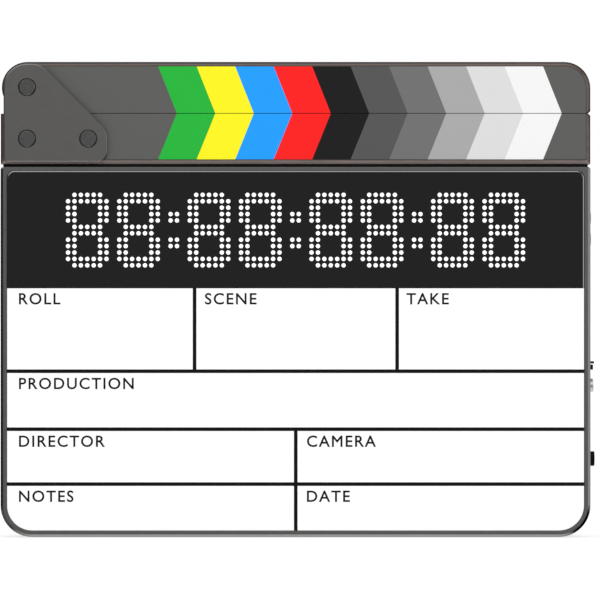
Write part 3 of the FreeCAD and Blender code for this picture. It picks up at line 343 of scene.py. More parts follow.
# %% [markdown]
# ### Print and lenses
# The sheets on the sticks are matt print: the tooth of the paper-like film shows in grazing light, and the
# inks share it. An ink is chosen as it should look on a screen. The shader wants light, not screen values,
# and its sheen and the bright room add a little, so that is taken off first. The lenses are milky and glow.

# %% Print and lens finishes
SHEEN = 0.012
ROOM_LIGHT = 1.12


def screen(red, green, blue):
    """Turns a colour as seen on a screen, 0 to 255, into light."""
    light = []
    for value in (red, green, blue):
        share = value / 255
        light.append(share / 12.92 if share <= 0.04045 else ((share + 0.055) / 1.055) ** 2.4)
    return tuple(light)


def printed_sheet(name, colour):
    """Matt ink or film: the colour as seen, less what its sheen and the room add."""
    material = finish(name, specular=0.2)
    tooth = specks(material, per_metre=3600.0)
    colour = times([max(0.0, value - SHEEN) for value in colour], 1.0 / ROOM_LIGHT)
    tint(material, tooth, dark=times(colour, 0.965), light=times(colour, 1.035))
    polish(material, tooth, low=0.46, high=0.58)
    relief(material, tooth, strength=0.06, depth=0.01 * MM)
    return material


def glowing(material, strength):
    """Lets a surface shine by itself, in white."""
    shader_of(material).inputs["Emission Color"].default_value = WHITE
    shader_of(material).inputs["Emission Strength"].default_value = strength


def milky_lens(name, colour, glow):
    """A cloudy lens that glows by itself."""
    material = finish(name)
    cloud = specks(material, per_metre=900.0)
    tint(material, cloud, dark=times(colour, 0.97), light=colour)
    polish(material, cloud, low=0.28, high=0.38)
    glowing(material, glow)
    return material


FINISHES["label_grey"] = printed_sheet("sheet_grey", screen(98, 98, 97))
FINISHES["dot_white"] = milky_lens("dot_lens", even(0.92), glow=0.22)
RULING_INK = printed_sheet("ruling_ink", screen(27, 27, 27))
WORD_INK = printed_sheet("word_ink", screen(30, 30, 30))
print("the ruling ink reflects", round(screen(27, 27, 27)[0], 4), "of the light")

# %% [markdown]
# ### Wood
# The sticks are stained hardwood. A picture of a plank would smear over the ends. Grain is noise here,
# stretched a long way along the stick, with much finer pores over it, so the ends show specks and the long
# faces show lines. Along the outer edges, where a Bevel node finds the turn from chamfer to side, the base
# colour is darkened as painted shade, and the faces of the lower stick that look down get painted light.

# %% Wood finishes
EDGE_SHADE_SAMPLES = 8
SIDEWAYS, DOWNWARDS = -0.40, -0.65
OUTER_EDGE = ((0.10, WHITE), (0.20, BLACK), (0.685, BLACK), (0.704, WHITE))
WOOD_STAIN = (0.082, 0.056, 0.046)
# The paler colour painted as light on the lower stick's faces that look down.
PAINTED_LIGHT_WOOD = (0.305, 0.247, 0.235)


def outer_edge(material, radius):
    """0 beside the edges where a chamfer meets a side, 1 elsewhere."""
    tree = material.node_tree
    rounded = add(tree, "Bevel", {"Radius": radius}, samples=EDGE_SHADE_SAMPLES)
    axes = add(tree, "SeparateXYZ", {"Vector": rounded.outputs["Normal"]})
    return ramp(tree, either_way(material, axes.outputs["Y"]), OUTER_EDGE)


def painted_light_below(material, light_colour):
    """Paints light on the faces that look down, in uneven patches of a paler colour."""
    tree = material.node_tree
    sockets = {"Value": facing(material, "Z"), "From Min": SIDEWAYS, "From Max": DOWNWARDS}
    down = add(tree, "MapRange", sockets)
    uneven_light = specks(material, per_metre=1.0, detail=3.0, stretch=(60.0, 700.0, 700.0))
    stops = ((NOISE_LOW, opaque(times(light_colour, 0.85))), (NOISE_HIGH, opaque(times(light_colour, 1.15))))
    patches = ramp(tree, uneven_light, stops)
    feed(material, "Base Color", mixed(tree, down.outputs["Result"], fed(material, "Base Color"), patches))


def stained_wood(name, colour, light_colour=None):
    """Stained and lacquered hardwood, with painted shade along the outer edges, where the lacquer is dull."""
    material = finish(name)
    grain = specks(material, per_metre=1.0, detail=6.0, stretch=(9.0, 300.0, 300.0))
    pores = specks(material, per_metre=1.0, detail=2.0, stretch=(160.0, 3600.0, 3600.0))
    tint(material, grain, dark=times(colour, 0.66), light=times(colour, 1.32), low=0.28, high=0.72)
    shade(material, pores, darkest=0.62, low=0.30, high=0.45)
    edge = outer_edge(material, radius=2.6 * MM)
    # Painted shade: the base colour is darkened beside the outer edges.
    shade(material, edge, darkest=0.08, low=0.0, high=1.0)
    if light_colour:
        painted_light_below(material, light_colour)
    polish(material, edge, low=0.90, high=0.32)
    relief(material, pores, strength=0.10, depth=0.03 * MM)
    return material


FINISHES["stick_wood"] = stained_wood("stick_stained_wood", WOOD_STAIN)
# The lower stick's wood has painted light on the faces that look down.
LOWER_STICK = stained_wood("lower_stick_wood_painted_light", WOOD_STAIN, PAINTED_LIGHT_WOOD)
print("woods:", FINISHES["stick_wood"].name, "and", LOWER_STICK.name)

# %% [markdown]
# ### Rubber, mouldings and the flat cable
# Rubber is dull and dusty, and mouldings have a fine spark-eroded skin. Each could be built by itself, but
# they are the same finish with other values, so one function makes them all. The flat cable has a band for
# each wire, which a Wave node draws. The pieces inside get the same care, since they show when the cover is
# off.

# %% Rubber, moulding and cable finishes
MOULDED_EDGE = 0.15 * MM


def moulded(name, colour, rough, per_metre=4200.0, strength=0.18, specular=0.4):
    """Rubber or plastic with a fine skin."""
    material = finish(name, specular=specular)
    skin = specks(material, per_metre)
    cloud = specks(material, per_metre=120.0, detail=3.0)
    tint(material, cloud, dark=times(colour, 0.86), light=times(colour, 1.12))
    polish(material, skin, low=rough - 0.06, high=rough + 0.06)
    relief(material, skin, strength, depth=0.03 * MM, edge=MOULDED_EDGE)
    return material


def banded(name, dark, light, per_metre):
    """A flat cable: bands across its width, one for each wire."""
    material = finish(name)
    tree = material.node_tree
    where = add(tree, "TexCoord", {})
    sockets = {"Vector": where.outputs["Object"], "Scale": per_metre}
    wires = add(tree, "TexWave", sockets, wave_type="BANDS", bands_direction="X").outputs["Fac"]
    tint(material, wires, dark, light)
    polish(material, wires, low=0.42, high=0.5)
    relief(material, wires, strength=0.3, depth=0.1 * MM)
    return material


FINISHES.update({
    "rubber_black": moulded("rubber_dull", even(0.004), 0.80, per_metre=5200.0, strength=0.3, specular=0.12),
    "knob_black": moulded("knob_rubber", even(0.004), 0.70, per_metre=5200.0, strength=0.25, specular=0.15),
    "button_black": moulded("button_moulding", even(0.018), 0.52),
    "switch_black": moulded("switch_moulding", even(0.014), 0.48),
    "jack_black": moulded("jack_moulding", even(0.011), 0.34, strength=0.06),
    "sensor_black": moulded("sensor_moulding", even(0.015), 0.42),
    "washer_nylon": moulded("washer_nylon", even(0.020), 0.45),
    "circuit_black": moulded("circuit_black_mask", (0.010, 0.010, 0.011), 0.32, 900.0, strength=0.10),
    "circuit_green": moulded("circuit_green_mask", (0.015, 0.120, 0.045), 0.32, 900.0, strength=0.10),
    "cell_wrap": moulded("cell_shrink_wrap", (0.030, 0.060, 0.160), 0.28, 260.0, strength=0.25),
    "ribbon_grey": banded("ribbon_wires", (0.24, 0.24, 0.235), (0.40, 0.40, 0.39), per_metre=250.0),
})
print(len(FINISHES), "finishes for", len(set(SLOT_OF.values())), "slots")

# %% [markdown]
# ## Dress the solids
# The record says which slot each solid belongs to, so one loop gives all of them their finish. Choosing by
# hand would miss one of so many. Only the lower stick, with painted light on its faces that look down, has
# a wood of its own. The meshes stay as they are.

# %% Give every solid its finish
for name, solid in NODES.items():
    solid.data.materials.clear()
    solid.data.materials.append(LOWER_STICK if name == "lower_stick" else FINISHES[SLOT_OF[name]])
print("dressed", len(NODES), "solids")

# %% [markdown]
# ## The lamps' lenses
# The display is a grid of round dots that make four pairs of digits with colons between them. A dot is a
# ball, flattened to a lens and cut off just behind the window's face. Like every new piece, it follows one
# path: deselect everything, add a primitive, shape it in edit mode and leave it at the origin with its
# place in its mesh. A few short helpers keep that path readable.

# %% Hands for modelling
SINK = 0.02 * MM
NEAR = 0.005 * MM
UPRIGHT = (math.pi / 2, 0.0, 0.0)


def deselect():
    """Lets go of every piece."""
    bpy.ops.object.select_all(action="DESELECT")


def hold(piece):
    """Selects one piece only, and makes it the active one."""
    deselect()
    piece.select_set(True)
    bpy.context.view_layer.objects.active = piece


def rest_at_origin():
    """Moves the place, turn and scale of what is held into its mesh."""
    bpy.ops.object.transform_apply(location=True, rotation=True, scale=True)


def settle(name):
    """Names the new primitive and leaves it at the origin."""
    piece = bpy.context.object
    piece.name = name
    piece.data.name = name
    rest_at_origin()
    return piece


def open_mesh(piece):
    """Goes into edit mode with every face selected."""
    hold(piece)
    bpy.ops.object.mode_set(mode="EDIT")
    bpy.ops.mesh.select_mode(type="FACE")
    bpy.ops.mesh.select_all(action="SELECT")


def turn_outwards():
    """Turns all normals to the outside."""
    bpy.ops.mesh.select_all(action="SELECT")
    bpy.ops.mesh.normals_make_consistent(inside=False)


def close_mesh():
    """Turns the normals to the outside and leaves edit mode."""
    turn_outwards()
    bpy.ops.object.mode_set(mode="OBJECT")


print("pieces sink", round(SINK / MM, 3), "mm into what carries them")

# %% Model one lens
LAMP_WIDTH = 2.0 * MM
LENS_RADIUS = 1.03 * MM
LENS_HEIGHT = 0.22 * MM
COLUMNS = 72
ROWS = 12
window_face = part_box("display_window")[0].y
lamps_low, lamps_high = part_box("led_dots")
pitch = (lamps_high.x - lamps_low.x - LAMP_WIDTH) / (COLUMNS - 1)
first_dot = Vector((lamps_low.x + LAMP_WIDTH / 2, window_face, lamps_high.z - LAMP_WIDTH / 2))
deselect()
bpy.ops.mesh.primitive_uv_sphere_add(segments=16, ring_count=6, radius=LENS_RADIUS, location=first_dot,
                                     rotation=UPRIGHT)
dots = settle("display_dots")
open_mesh(dots)
bpy.ops.transform.resize(value=(1.0, LENS_HEIGHT / LENS_RADIUS, 1.0), center_override=first_dot)
bpy.ops.mesh.bisect(plane_co=first_dot + Vector((0.0, SINK, 0.0)), plane_no=(0.0, 1.0, 0.0), use_fill=True,
                    clear_outer=True, threshold=NEAR)
close_mesh()
print("lens faces:", len(dots.data.polygons), "pitch:", round(pitch / MM, 3), "mm")

# %% [markdown]
# ### Rows of dots
# Placing hundreds of dots by hand would be slow, and a list of their places would be long. Two arrays fill
# the whole grid instead, and the dots that no digit needs are picked by column and row and deleted. Points
# are picked by where they are, because nobody can click on them here.


# %% Hands for rows
def pick_points(test):
    """Selects the points whose place passes a test."""
    bpy.ops.mesh.select_mode(type="VERT")
    bpy.ops.mesh.select_all(action="DESELECT")
    mesh = bmesh.from_edit_mesh(bpy.context.object.data)
    for point in mesh.verts:
        if test(point.co):
            point.select_set(True)
    mesh.select_flush(True)
    bmesh.update_edit_mesh(bpy.context.object.data)


def repeat(piece, count, step):
    """Repeats a piece in a row with an array, and applies it."""
    hold(piece)
    row = piece.modifiers.new("row", "ARRAY")
    row.use_relative_offset = False
    row.use_constant_offset = True
    row.constant_offset_displace = step
    row.count = count
    bpy.ops.object.modifier_apply(modifier=row.name)


def smooth(piece, degrees):
    """Shades a piece smooth, apart from edges sharper than the angle."""
    hold(piece)
    bpy.ops.object.shade_smooth_by_angle(angle=math.radians(degrees))


def place(piece, body, material):
    """Lets a finished piece ride on a body, with its finish."""
    if material is not None:
        piece.data.materials.clear()
        piece.data.materials.append(material)
    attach(piece, body)
    print(piece.name, "rides on", body, "with", len(piece.data.polygons), "faces")


# %% Fill the grid and keep the digits
PAIR_STEP = 19
DIGIT_STEP = 8
DIGIT_COLUMNS = 7
PAIR_COLUMNS = DIGIT_STEP + DIGIT_COLUMNS
BAR_ROWS = (0, 1, 5, 6, 10, 11)
ROUNDED_ROWS = (0, 5, 6, 11)
UPRIGHT_COLUMNS = (0, 1, 5, 6)
END_COLUMNS = (0, 6)
COLON_COLUMNS = (16, 17)
COLON_ROWS = (3, 4, 7, 8)


def drawn(column, row):
    """Whether a digit or a colon has a dot here."""
    across = column % PAIR_STEP
    if across >= PAIR_COLUMNS:
        return across in COLON_COLUMNS and row in COLON_ROWS
    along = across % DIGIT_STEP
    if along >= DIGIT_COLUMNS:
        return False
    rounded = along in END_COLUMNS and row in ROUNDED_ROWS
    return (row in BAR_ROWS or along in UPRIGHT_COLUMNS) and not rounded


repeat(dots, COLUMNS, (pitch, 0.0, 0.0))
repeat(dots, ROWS, (0.0, 0.0, -pitch))
open_mesh(dots)
pick_points(lambda p: not drawn(round((p.x - first_dot.x) / pitch), round((first_dot.z - p.z) / pitch)))
bpy.ops.mesh.delete(type="VERT")
close_mesh()
smooth(dots, degrees=60)
place(dots, "board", FINISHES["dot_white"])

# %% [markdown]
# ## Ruled lines
# The fields of the writing board are ruled in black ink. A material could draw them, but ink has a little
# body, so each line is a strip that stands a few hundredths of a millimetre proud, with its front edges
# bevelled off. The uprights stop at the lines that they meet, and an end at the frame is extruded once
# more, down the bevelled edge of the sheet.

# %% Hands for faces
LOOKS_ALONG = 0.9


def pick_faces(test):
    """Selects the faces whose middle and normal pass a test."""
    bpy.ops.mesh.select_mode(type="FACE")
    bpy.ops.mesh.select_all(action="DESELECT")
    mesh = bmesh.from_edit_mesh(bpy.context.object.data)
    for face in mesh.faces:
        if test(face.calc_center_median(), face.normal):
            face.select_set(True)
    bmesh.update_edit_mesh(bpy.context.object.data)


def pull(x, y, z):
    """Extrudes what is selected."""
    bpy.ops.mesh.extrude_region_move(TRANSFORM_OT_translate={"value": (x, y, z)})


print("a face looks along an axis from", LOOKS_ALONG, "of its normal")

# %% Rule one strip
LINE = 1.72 * MM
INK = 0.05 * MM
INK_EDGE = 0.02 * MM
SHEET_BEVEL = 0.45 * MM
SHEET_BEVEL_DEPTH = 0.3 * MM
sheet_low, sheet_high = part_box("writing_board")


def run_out(x, z):
    """Lets a strip's end on this side follow the sheet's bevelled edge."""
    pick_faces(lambda c, n: n.x * x + n.z * z > LOOKS_ALONG)
    pull(x * SHEET_BEVEL, SHEET_BEVEL_DEPTH, z * SHEET_BEVEL)


def strip(name, x0, x1, z0, z1, ends=()):
    """A thin strip of ink on the writing board."""
    deselect()
    middle = ((x0 + x1) / 2, sheet_low.y + SINK, (z0 + z1) / 2)
    bpy.ops.mesh.primitive_plane_add(size=1.0, location=middle, rotation=UPRIGHT)
    bpy.context.object.scale = (x1 - x0, z1 - z0, 1.0)
    line = settle(name)
    open_mesh(line)
    pull(0.0, -INK - SINK, 0.0)
    turn_outwards()
    front = sheet_low.y - INK
    pick_faces(lambda c, n: abs(c.y - front) < NEAR)
    bpy.ops.mesh.bevel(offset=INK_EDGE, segments=1, affect="EDGES")
    for x, z in ends:
        run_out(x, z)
    close_mesh()
    return line


print("ink stands", round(INK / MM, 3), "mm proud of the writing board")

# %% Rule the writing board
LINE_LEVELS = (78.70 * MM, 51.19 * MM, 25.15 * MM)
TAKE_LINES = (-47.9 * MM, 48.2 * MM)
MIDDLE_LINE = 0.1 * MM
LEFT, RIGHT, DOWN = (-1, 0), (1, 0), (0, -1)


def join(pieces):
    """Joins pieces into the first of them."""
    hold(pieces[0])
    for piece in pieces[1:]:
        piece.select_set(True)
    bpy.ops.object.join()


half = LINE / 2
left, right, bottom = sheet_low.x + SHEET_BEVEL, sheet_high.x - SHEET_BEVEL, sheet_low.z + SHEET_BEVEL
upper, middle, lower = LINE_LEVELS
MIDDLE_SPANS = (
    (lower + half, middle - half, ()),
    (bottom, lower - half, (DOWN,)),
)
lines = [strip("ruled_lines", left, right, z - half, z + half, (LEFT, RIGHT)) for z in LINE_LEVELS]
for x in TAKE_LINES:
    lines.append(strip("upright", x - half, x + half, upper + half, sheet_high.z))
for low, high, ends in MIDDLE_SPANS:
    lines.append(strip("upright", MIDDLE_LINE - half, MIDDLE_LINE + half, low, high, ends))
join(lines)
place(lines[0], "board", RULING_INK)

# %% [markdown]
# ## Field words
# Each field has its plain word, as on any clapperboard. Letters could be cut from planes, but Blender can
# type them: flat text is given a little thickness, and a bevel around it makes the strokes bolder, since
# the font has one weight only. Made a mesh, a word is stood upright and scaled until a capital has the
# height of the real ones.


# %% Measure a capital
def typed(text):
    """Types a flat word at the origin."""
    deselect()
    bpy.ops.object.text_add(location=(0.0, 0.0, 0.0))
    word = bpy.context.object
    word.data.body = text
    word.data.size = 1.0
    return word


gauge = typed("H")
bpy.context.view_layer.update()
capital_height = gauge.dimensions.y
bpy.ops.object.delete()
print("a typed capital is", round(capital_height, 3), "high")

# %% List the words
CAPITAL = 5.15 * MM
FIRST_X = -131.2 * MM
HALF_X = 5.4 * MM
WORDS = (
    ("ROLL", FIRST_X, 110.5 * MM),
    ("SCENE", -43.0 * MM, 110.5 * MM),
    ("TAKE", 52.6 * MM, 110.5 * MM),
    ("PRODUCTION", FIRST_X, 70.3 * MM),
    ("DIRECTOR", FIRST_X, 42.9 * MM),
    ("CAMERA", HALF_X, 42.9 * MM),
    ("NOTES", FIRST_X, 16.8 * MM),
    ("DATE", HALF_X, 16.8 * MM),
)
print(len(WORDS), "words, with capitals of", round(CAPITAL / MM, 3), "mm")

# %% Letter the fields
WORD_BODY = 0.01
WORD_WEIGHT = 0.014
LETTER_SPACING = 1.17
CURVE_STEPS = 4
MERGE = 0.001 * MM


def letter(text, x, z):
    """One word, with its lower left corner at x and z."""
    word = typed(text)
    word.data.extrude = WORD_BODY
    word.data.bevel_depth = WORD_WEIGHT
    word.data.bevel_resolution = 0
    word.data.resolution_u = CURVE_STEPS
    word.data.space_character = LETTER_SPACING
    bpy.ops.object.convert(target="MESH")
    word = bpy.context.object
    start = min(corner[0] for corner in word.bound_box)
    size = CAPITAL / capital_height
    half_depth = (INK + SINK) / 2
    word.scale = (size, size, half_depth / (WORD_BODY + WORD_WEIGHT))
    word.rotation_euler = UPRIGHT
    word.location = (x - start * size, sheet_low.y + SINK - half_depth, z)
    word = settle("word_" + text)
    open_mesh(word)
    bpy.ops.mesh.remove_doubles(threshold=MERGE)
    close_mesh()
    return word


words = [letter(*row) for row in WORDS]
join(words)
words[0].name = "field_words"
words[0].data.name = "field_words"
place(words[0], "board", WORD_INK)

# %% [markdown]
# ## Stripes
# Both sticks carry ten slanted stripes that meet in arrowheads at the seam: four colours, black, and five
# steps to white. A material could draw them too, but printed as thin pieces they keep crisp edges at any
# distance. A stripe starts as an upright plane; moving its outer edge sideways makes it a slanted one, and
# an array sets the other nine beside it. Each gets its ink by its number in the row.

# %% Mix the stripe inks
INK_COLOURS = (
    ("green", (44, 186, 65)),
    ("yellow", (255, 247, 38)),
    ("blue", (38, 161, 255)),
    ("red", (255, 37, 36)),
    ("black", (38, 38, 38)),
    ("grey_1", (90, 90, 90)),
    ("grey_2", (116, 116, 116)),
    ("grey_3", (172, 172, 172)),
    ("grey_4", (224, 223, 223)),
    ("white", (246, 246, 246)),
)
STRIPE_INKS = [printed_sheet("ink_" + name, screen(*colour)) for name, colour in INK_COLOURS]
print("inks:", len(STRIPE_INKS))

# %% Print the stripes
STRIPE = 18.27 * MM
STRIPE_LEAN = 8.78 * MM
STRIPE_START = -56.4 * MM
STRIPE_INK = 0.04 * MM


def stripes(name, label, seam, outer, body):
    """Ten slanted stripes between the seam's level and the stick's outer level."""
    middle = (STRIPE_START + STRIPE / 2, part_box(label)[0].y + SINK, (seam + outer) / 2)
    deselect()
    bpy.ops.mesh.primitive_plane_add(size=1.0, rotation=UPRIGHT, location=middle)
    bpy.context.object.scale = (STRIPE, abs(outer - seam), 1.0)
    printed = settle(name)
    open_mesh(printed)
    pick_points(lambda p: abs(p.z - outer) < NEAR)
    bpy.ops.transform.translate(value=(-STRIPE_LEAN, 0.0, 0.0))
    bpy.ops.mesh.select_all(action="SELECT")
    pull(0.0, -STRIPE_INK - SINK, 0.0)
    close_mesh()
    faces = len(printed.data.polygons)
    repeat(printed, len(STRIPE_INKS), (STRIPE, 0.0, 0.0))
    printed.data.materials.clear()
    for ink in STRIPE_INKS:
        printed.data.materials.append(ink)
    for number, polygon in enumerate(printed.data.polygons):
        polygon.material_index = number // faces
    place(printed, body, None)


lower_low, lower_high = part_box("lower_stick_label")
upper_low, upper_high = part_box("upper_stick_label")
stripes("lower_stripes", "lower_stick_label", lower_high.z, lower_low.z, "board")
stripes("upper_stripes", "upper_stick_label", upper_low.z, upper_high.z, "clapper")

# %% [markdown]
# ## Fasteners with sockets
# The solids of the screws are plain. From behind one sees that the cover screws are countersunk with a
# hexagon socket, and that the hinge posts have one too. A round bar gets its head by extruding and widening
# its end face; a six-sided bar then cuts the socket. Inset faces could sink a socket too, but their sides
# would follow the round head. One screw is modelled and the others are copies.

# %% Hands for bars
ROUND = 48


def bar(name, sides, radius, y0, y1, x, z):
    """A bar along Y."""
    deselect()
    bpy.ops.mesh.primitive_cylinder_add(vertices=sides, radius=radius, depth=y1 - y0, rotation=UPRIGHT,
                                        location=(x, (y0 + y1) / 2, z))
    return settle(name)


def pick_back():
    """Selects the end face that looks to the back."""
    pick_faces(lambda c, n: n.y > LOOKS_ALONG)


def widen(factor, x, y, z):
    """Widens what is selected about a bar's axis."""
    bpy.ops.transform.resize(value=(factor, 1.0, factor), center_override=(x, y, z))


def round_off(edge, segments):
    """Bevels the edges of what is selected."""
    bpy.ops.mesh.bevel(offset=edge, segments=segments, affect="EDGES")


print("a round bar has", ROUND, "sides")

# %% Hands for sockets and copies
HEX = 6
KEY_OVERRUN = 1.0 * MM


def socket(piece, radius, depth, face, x, z):
    """Cuts a hexagon socket into a face that looks to the back."""
    key = bar("key", HEX, radius, face - depth, face + KEY_OVERRUN, x, z)
    hold(piece)
    cut = piece.modifiers.new("socket", "BOOLEAN")
    cut.operation = "DIFFERENCE"
    cut.solver = "EXACT"
    cut.object = key
    bpy.ops.object.modifier_apply(modifier=cut.name)
    hold(key)
    bpy.ops.object.delete()


def copies(piece, shifts):
    """Copies a piece by each shift, each copy with its own mesh, and joins them to it."""
    twins = []
    for shift in shifts:
        hold(piece)
        bpy.ops.object.duplicate(linked=False)
        bpy.ops.transform.translate(value=shift)
        rest_at_origin()
        twins.append(bpy.context.object)
    join([piece, *twins])


print("a key has", HEX, "sides")

# %% Model the cover screws
SCREW_RADIUS = 1.5 * MM
SCREW_HEAD = 2.9 * MM
SCREW_HEAD_HEIGHT = 1.4 * MM
SCREW_EDGE = 0.12 * MM
SCREW_KEY = 1.15 * MM
SCREW_KEY_DEPTH = 1.1 * MM
LOWEST_ROW_Z = 5.6 * MM
LOWEST_ROW_X = (-125.0 * MM, 125.0 * MM, -41.25 * MM, 41.25 * MM)
SIDE_SCREWS = [(-134.4 * MM, 108.1 * MM), (134.4 * MM, 108.1 * MM)]
screw_places = [(x, LOWEST_ROW_Z) for x in LOWEST_ROW_X] + SIDE_SCREWS
screws_low, screws_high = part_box("cover_screws")
back = screws_high.y
home_x, home_z = screw_places[0]
screws = bar("cover_screws_hex", ROUND, SCREW_RADIUS, screws_low.y, back - SCREW_HEAD_HEIGHT, home_x, home_z)
open_mesh(screws)
pick_back()
pull(0.0, SCREW_HEAD_HEIGHT, 0.0)
widen(SCREW_HEAD / SCREW_RADIUS, home_x, back, home_z)
round_off(SCREW_EDGE, segments=2)
close_mesh()
socket(screws, SCREW_KEY, SCREW_KEY_DEPTH, back, home_x, home_z)
smooth(screws, degrees=30)
copies(screws, [(x - home_x, 0.0, z - home_z) for x, z in screw_places[1:]])
place(screws, "board", FINISHES["bolt_dark"])
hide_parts("cover_screws")

# %% Model the hinge posts
POST_RADIUS = 3.0 * MM
POST_HEAD_HEIGHT = 1.6 * MM
POST_EDGE = 0.3 * MM
POST_KEY = 2.0 * MM
POST_KEY_DEPTH = 1.3 * MM
pivot_low, pivot_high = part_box("pivot_post")
feet_low, feet_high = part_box("plate_posts")
pivot_x, pivot_z = (pivot_low.x + pivot_high.x) / 2, (pivot_low.z + pivot_high.z) / 2
post_head = (pivot_high.x - pivot_low.x) / 2
lower_z = (feet_low.z + feet_high.z) / 2
toe_x = feet_high.x - post_head


def post(name, x, z):
    """A sleeve with a round head at the back and a hexagon socket in it."""
    face = pivot_high.y
    sleeve = bar(name, ROUND, POST_RADIUS, pivot_low.y, face - POST_HEAD_HEIGHT, x, z)
    open_mesh(sleeve)
    pick_back()
    pull(0.0, 0.0, 0.0)
    widen(post_head / POST_RADIUS, x, face, z)
    pull(0.0, POST_HEAD_HEIGHT, 0.0)
    round_off(POST_EDGE, segments=3)
    close_mesh()
    socket(sleeve, POST_KEY, POST_KEY_DEPTH, face, x, z)
    smooth(sleeve, degrees=30)
    return sleeve


pivot = post("pivot_post_hex", pivot_x, pivot_z)
place(pivot, "board", FINISHES["bolt_dark"])
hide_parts("pivot_post")
plate = post("plate_posts_hex", pivot_x, lower_z)
copies(plate, [(toe_x - pivot_x, 0.0, 0.0)])
place(plate, "board", FINISHES["bolt_dark"])
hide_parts("plate_posts")

# %% [markdown]
# ## Camera thread
# The insert in the back takes a camera screw, so its bore has a thread of 20 turns to the inch. A bump
# could fake it, but its profile shows at the rim. A small diamond beside the axis, carried round and along
# by a Screw modifier, leaves a ridge whose outer half is buried in the brass.

# %% Cut the camera thread
CAMERA_BORE = 3.175 * MM
THREAD_PITCH = 25.4 / 20 * MM
THREAD_TURNS = 5
THREAD_STEPS = 32
THREAD_RECESS = 0.7 * MM
RIDGE = 0.5 * MM
insert_low, insert_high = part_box("tripod_insert")
deselect()
bpy.ops.mesh.primitive_circle_add(vertices=4, radius=RIDGE, location=(CAMERA_BORE, 0.0, 0.0))
thread = settle("camera_thread")
turn = thread.modifiers.new("turn", "SCREW")
turn.axis = "Y"
turn.screw_offset = THREAD_PITCH
turn.iterations = THREAD_TURNS
turn.steps = turn.render_steps = THREAD_STEPS
turn.use_merge_vertices = False
bpy.ops.object.modifier_apply(modifier=turn.name)
print("thread of", THREAD_TURNS, "turns, open at both ends")

# %% Close the thread and seat it
open_mesh(thread)
bpy.ops.mesh.select_mode(type="EDGE")
bpy.ops.mesh.select_all(action="DESELECT")
bpy.ops.mesh.select_non_manifold(extend=False, use_wire=False, use_boundary=True, use_multi_face=False,
                                 use_non_contiguous=False, use_verts=False)
bpy.ops.mesh.fill()
close_mesh()
rise = insert_high.y - THREAD_RECESS - max(point.co.y for point in thread.data.vertices)
thread.location = ((insert_low.x + insert_high.x) / 2, rise, (insert_low.z + insert_high.z) / 2)
hold(thread)
rest_at_origin()
smooth(thread, degrees=40)
place(thread, "board", FINISHES["brass"])

# %% [markdown]
# ## Soft feet
# The board is laid on its back between takes, on four rubber pads. A pad could be a ball cut flat, but a
# real one is punched from sheet: a short bar, whose rear edge is rounded a long way in so that it looks
# soft.

# %% Model the rubber feet
FOOT_RADIUS = 6.0 * MM
FOOT_ROUND = 0.9 * MM
pads_low, pads_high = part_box("rear_feet")
foot_x, foot_z = pads_low.x + FOOT_RADIUS, pads_low.z + FOOT_RADIUS
across = pads_high.x - FOOT_RADIUS - foot_x
along = pads_high.z - FOOT_RADIUS - foot_z
pads = bar("rubber_feet", ROUND, FOOT_RADIUS, pads_low.y, pads_high.y, foot_x, foot_z)
open_mesh(pads)
pick_back()
round_off(FOOT_ROUND, segments=5)
close_mesh()
smooth(pads, degrees=40)
copies(pads, [(across, 0.0, 0.0), (0.0, 0.0, along), (across, 0.0, along)])
place(pads, "board", FINISHES["rubber_black"])
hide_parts("rear_feet")

# %% [markdown]
# ## Studio
# The board stands on a plain pale floor. Lamps could light it evenly, but it would take many, so it glows,
# like a light table, and only a faint shadow gathers under the board. It stays out of reflections, because
# gloss has surroundings of its own.

# %% Floor
FLOOR_SIZE = 60.0
FLOOR_DROP = 0.2 * MM
FLOOR_GLOW = 0.7
deselect()
bpy.ops.mesh.primitive_plane_add(size=FLOOR_SIZE, location=(0.0, 0.0, -FLOOR_DROP))
floor = settle("studio_floor")
floor_paint = finish("floor_paint", specular=0.1)
floor_cloud = specks(floor_paint, per_metre=2.0, detail=3.0)
tint(floor_paint, floor_cloud, dark=even(0.295), light=even(0.305))
polish(floor_paint, floor_cloud, low=0.85, high=0.9)
glowing(floor_paint, FLOOR_GLOW)
floor.data.materials.append(floor_paint)
floor.visible_glossy = False
floor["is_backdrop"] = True
print("floor laid", FLOOR_SIZE, "m wide")

# %% [markdown]
# ### Surroundings
# Soft light comes from all sides. Satin metal shows what stands around it, so gloss sees a ring of its own,
# given in shares of a turn that starts at the left and goes down: dim at the left and a little paler below
# it, a bright panel below, black to the lower right, panels at the right and above, the last one as far as
# the upper left. A middle grey stands behind the camera and a paler one behind the board. Lamps could do
# this too, but each would cast its own shadow. The ring shows in gloss only, so it draws the edges of the
# frame and the sticks and lights nothing else.

# %% Ring of panels
RING = (
    (0.00, 0.08), (0.02, 0.10), (0.035, 0.34), (0.10, 0.34), (0.125, 0.20), (0.14, 0.30), (0.165, 1.00),
    (0.20, 1.15), (0.235, 1.80), (0.26, 1.80), (0.31, 1.25), (0.335, 0.00), (0.47, 0.00), (0.49, 1.38),
    (0.56, 1.38), (0.62, 0.42), (0.67, 0.42), (0.72, 1.45), (0.88, 1.45), (0.95, 0.22), (1.00, 0.08),
)
world = bpy.data.worlds.new("studio")
bpy.context.scene.world = world
world.use_nodes = True
sky = world.node_tree
direction = add(sky, "TexCoord", {})
axes = add(sky, "SeparateXYZ", {"Vector": direction.outputs["Generated"]})
around = add(sky, "CombineXYZ", {"X": axes.outputs["X"], "Y": axes.outputs["Z"]})
clock = add(sky, "TexGradient", {"Vector": around.outputs["Vector"]}, gradient_type="RADIAL")
ring = ramp(sky, clock.outputs["Fac"], [(turn, opaque(even(light))) for turn, light in RING])
print("the ring has", len(RING), "stops")

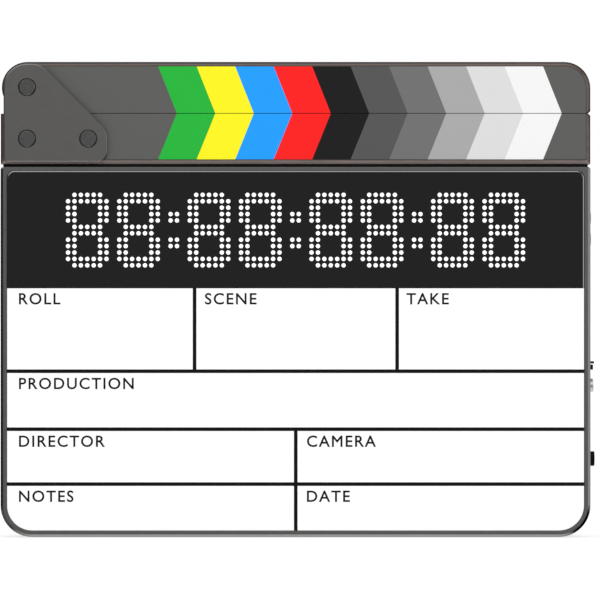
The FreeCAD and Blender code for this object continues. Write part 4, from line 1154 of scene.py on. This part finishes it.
# %% What each ray sees
AMBIENT = 1.06
BEHIND_CAMERA = 0.46
BEHIND_BOARD = 0.75
CAMERA_SIDE = (-0.95, -0.55)
BOARD_SIDE = (0.50, 0.75)


def along_y(start, end):
    """0 where a direction's Y is at the start, 1 where it is at the end."""
    sockets = {"Value": axes.outputs["Y"], "From Min": start, "From Max": end}
    return add(sky, "MapRange", sockets).outputs["Result"]


in_front = mixed(sky, along_y(*CAMERA_SIDE), opaque(even(BEHIND_CAMERA)), ring)
gloss = mixed(sky, along_y(*BOARD_SIDE), in_front, opaque(even(BEHIND_BOARD)))
rays = add(sky, "LightPath", {})
lit = mixed(sky, rays.outputs["Is Glossy Ray"], opaque(even(AMBIENT)), gloss)
seen = mixed(sky, rays.outputs["Is Camera Ray"], lit, WHITE)
sky.links.new(seen, sky.nodes["Background"].inputs["Color"])
bpy.context.scene.view_settings.view_transform = "Standard"
print("soft light of", AMBIENT, "from all sides")

# %% [markdown]
# ### Lamp
# Light from all sides alone looks flat. One large, weak lamp in front, high on the right, gives the raised
# pieces a soft shadow. A small lamp would draw a hard one.

# %% Lamp
SOFT_LAMP_PLACE = (0.5, -2.2, 1.3)
SOFT_LAMP_AIM = Vector((0.0, 0.0, 0.1))
SOFT_LAMP_SIZE = 1.2
SOFT_LAMP_POWER = 7.0
bpy.ops.object.light_add(type="AREA", location=SOFT_LAMP_PLACE)
lamp = bpy.context.object
lamp.name = "soft_lamp"
lamp.data.size = SOFT_LAMP_SIZE
lamp.data.energy = SOFT_LAMP_POWER
lamp.rotation_euler = (SOFT_LAMP_AIM - lamp.location).to_track_quat("-Z", "Y").to_euler()
print("lamp of", SOFT_LAMP_POWER, "W,", SOFT_LAMP_SIZE, "m wide")

# %% [markdown]
# ## Camera
# The picture was taken straight on with hardly any perspective, so a long lens stands far back, level with
# the middle of the picture. An orthographic camera would have none at all. The distance follows from the
# width that the picture covers.

# %% Camera
PICTURE_PIXELS = 600
PIXEL = 0.47446 * MM
FOCAL_LENGTH = 400.0
SENSOR = 36.0
FARTHEST = 100.0
AIM_X, AIM_Z = 2.12 * MM, 112.49 * MM
distance = PICTURE_PIXELS * PIXEL * FOCAL_LENGTH / SENSOR
housing_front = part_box("housing")[0].y
bpy.ops.object.camera_add(location=(AIM_X, housing_front - distance, AIM_Z), rotation=UPRIGHT)
camera = bpy.context.object
camera.data.lens = FOCAL_LENGTH
camera.data.sensor_width = SENSOR
camera.data.clip_end = FARTHEST
bpy.context.scene.camera = camera
print("camera stands", round(distance, 3), "m in front of the housing")

# %% [markdown]
# ## The dressed part's box
# Dressing must not change the part's size. The box of the dressed part is printed at the end.

# %% Print the dressed part's box
low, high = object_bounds()
print("dressed, the part reaches from", tuple(low), "to", tuple(high))
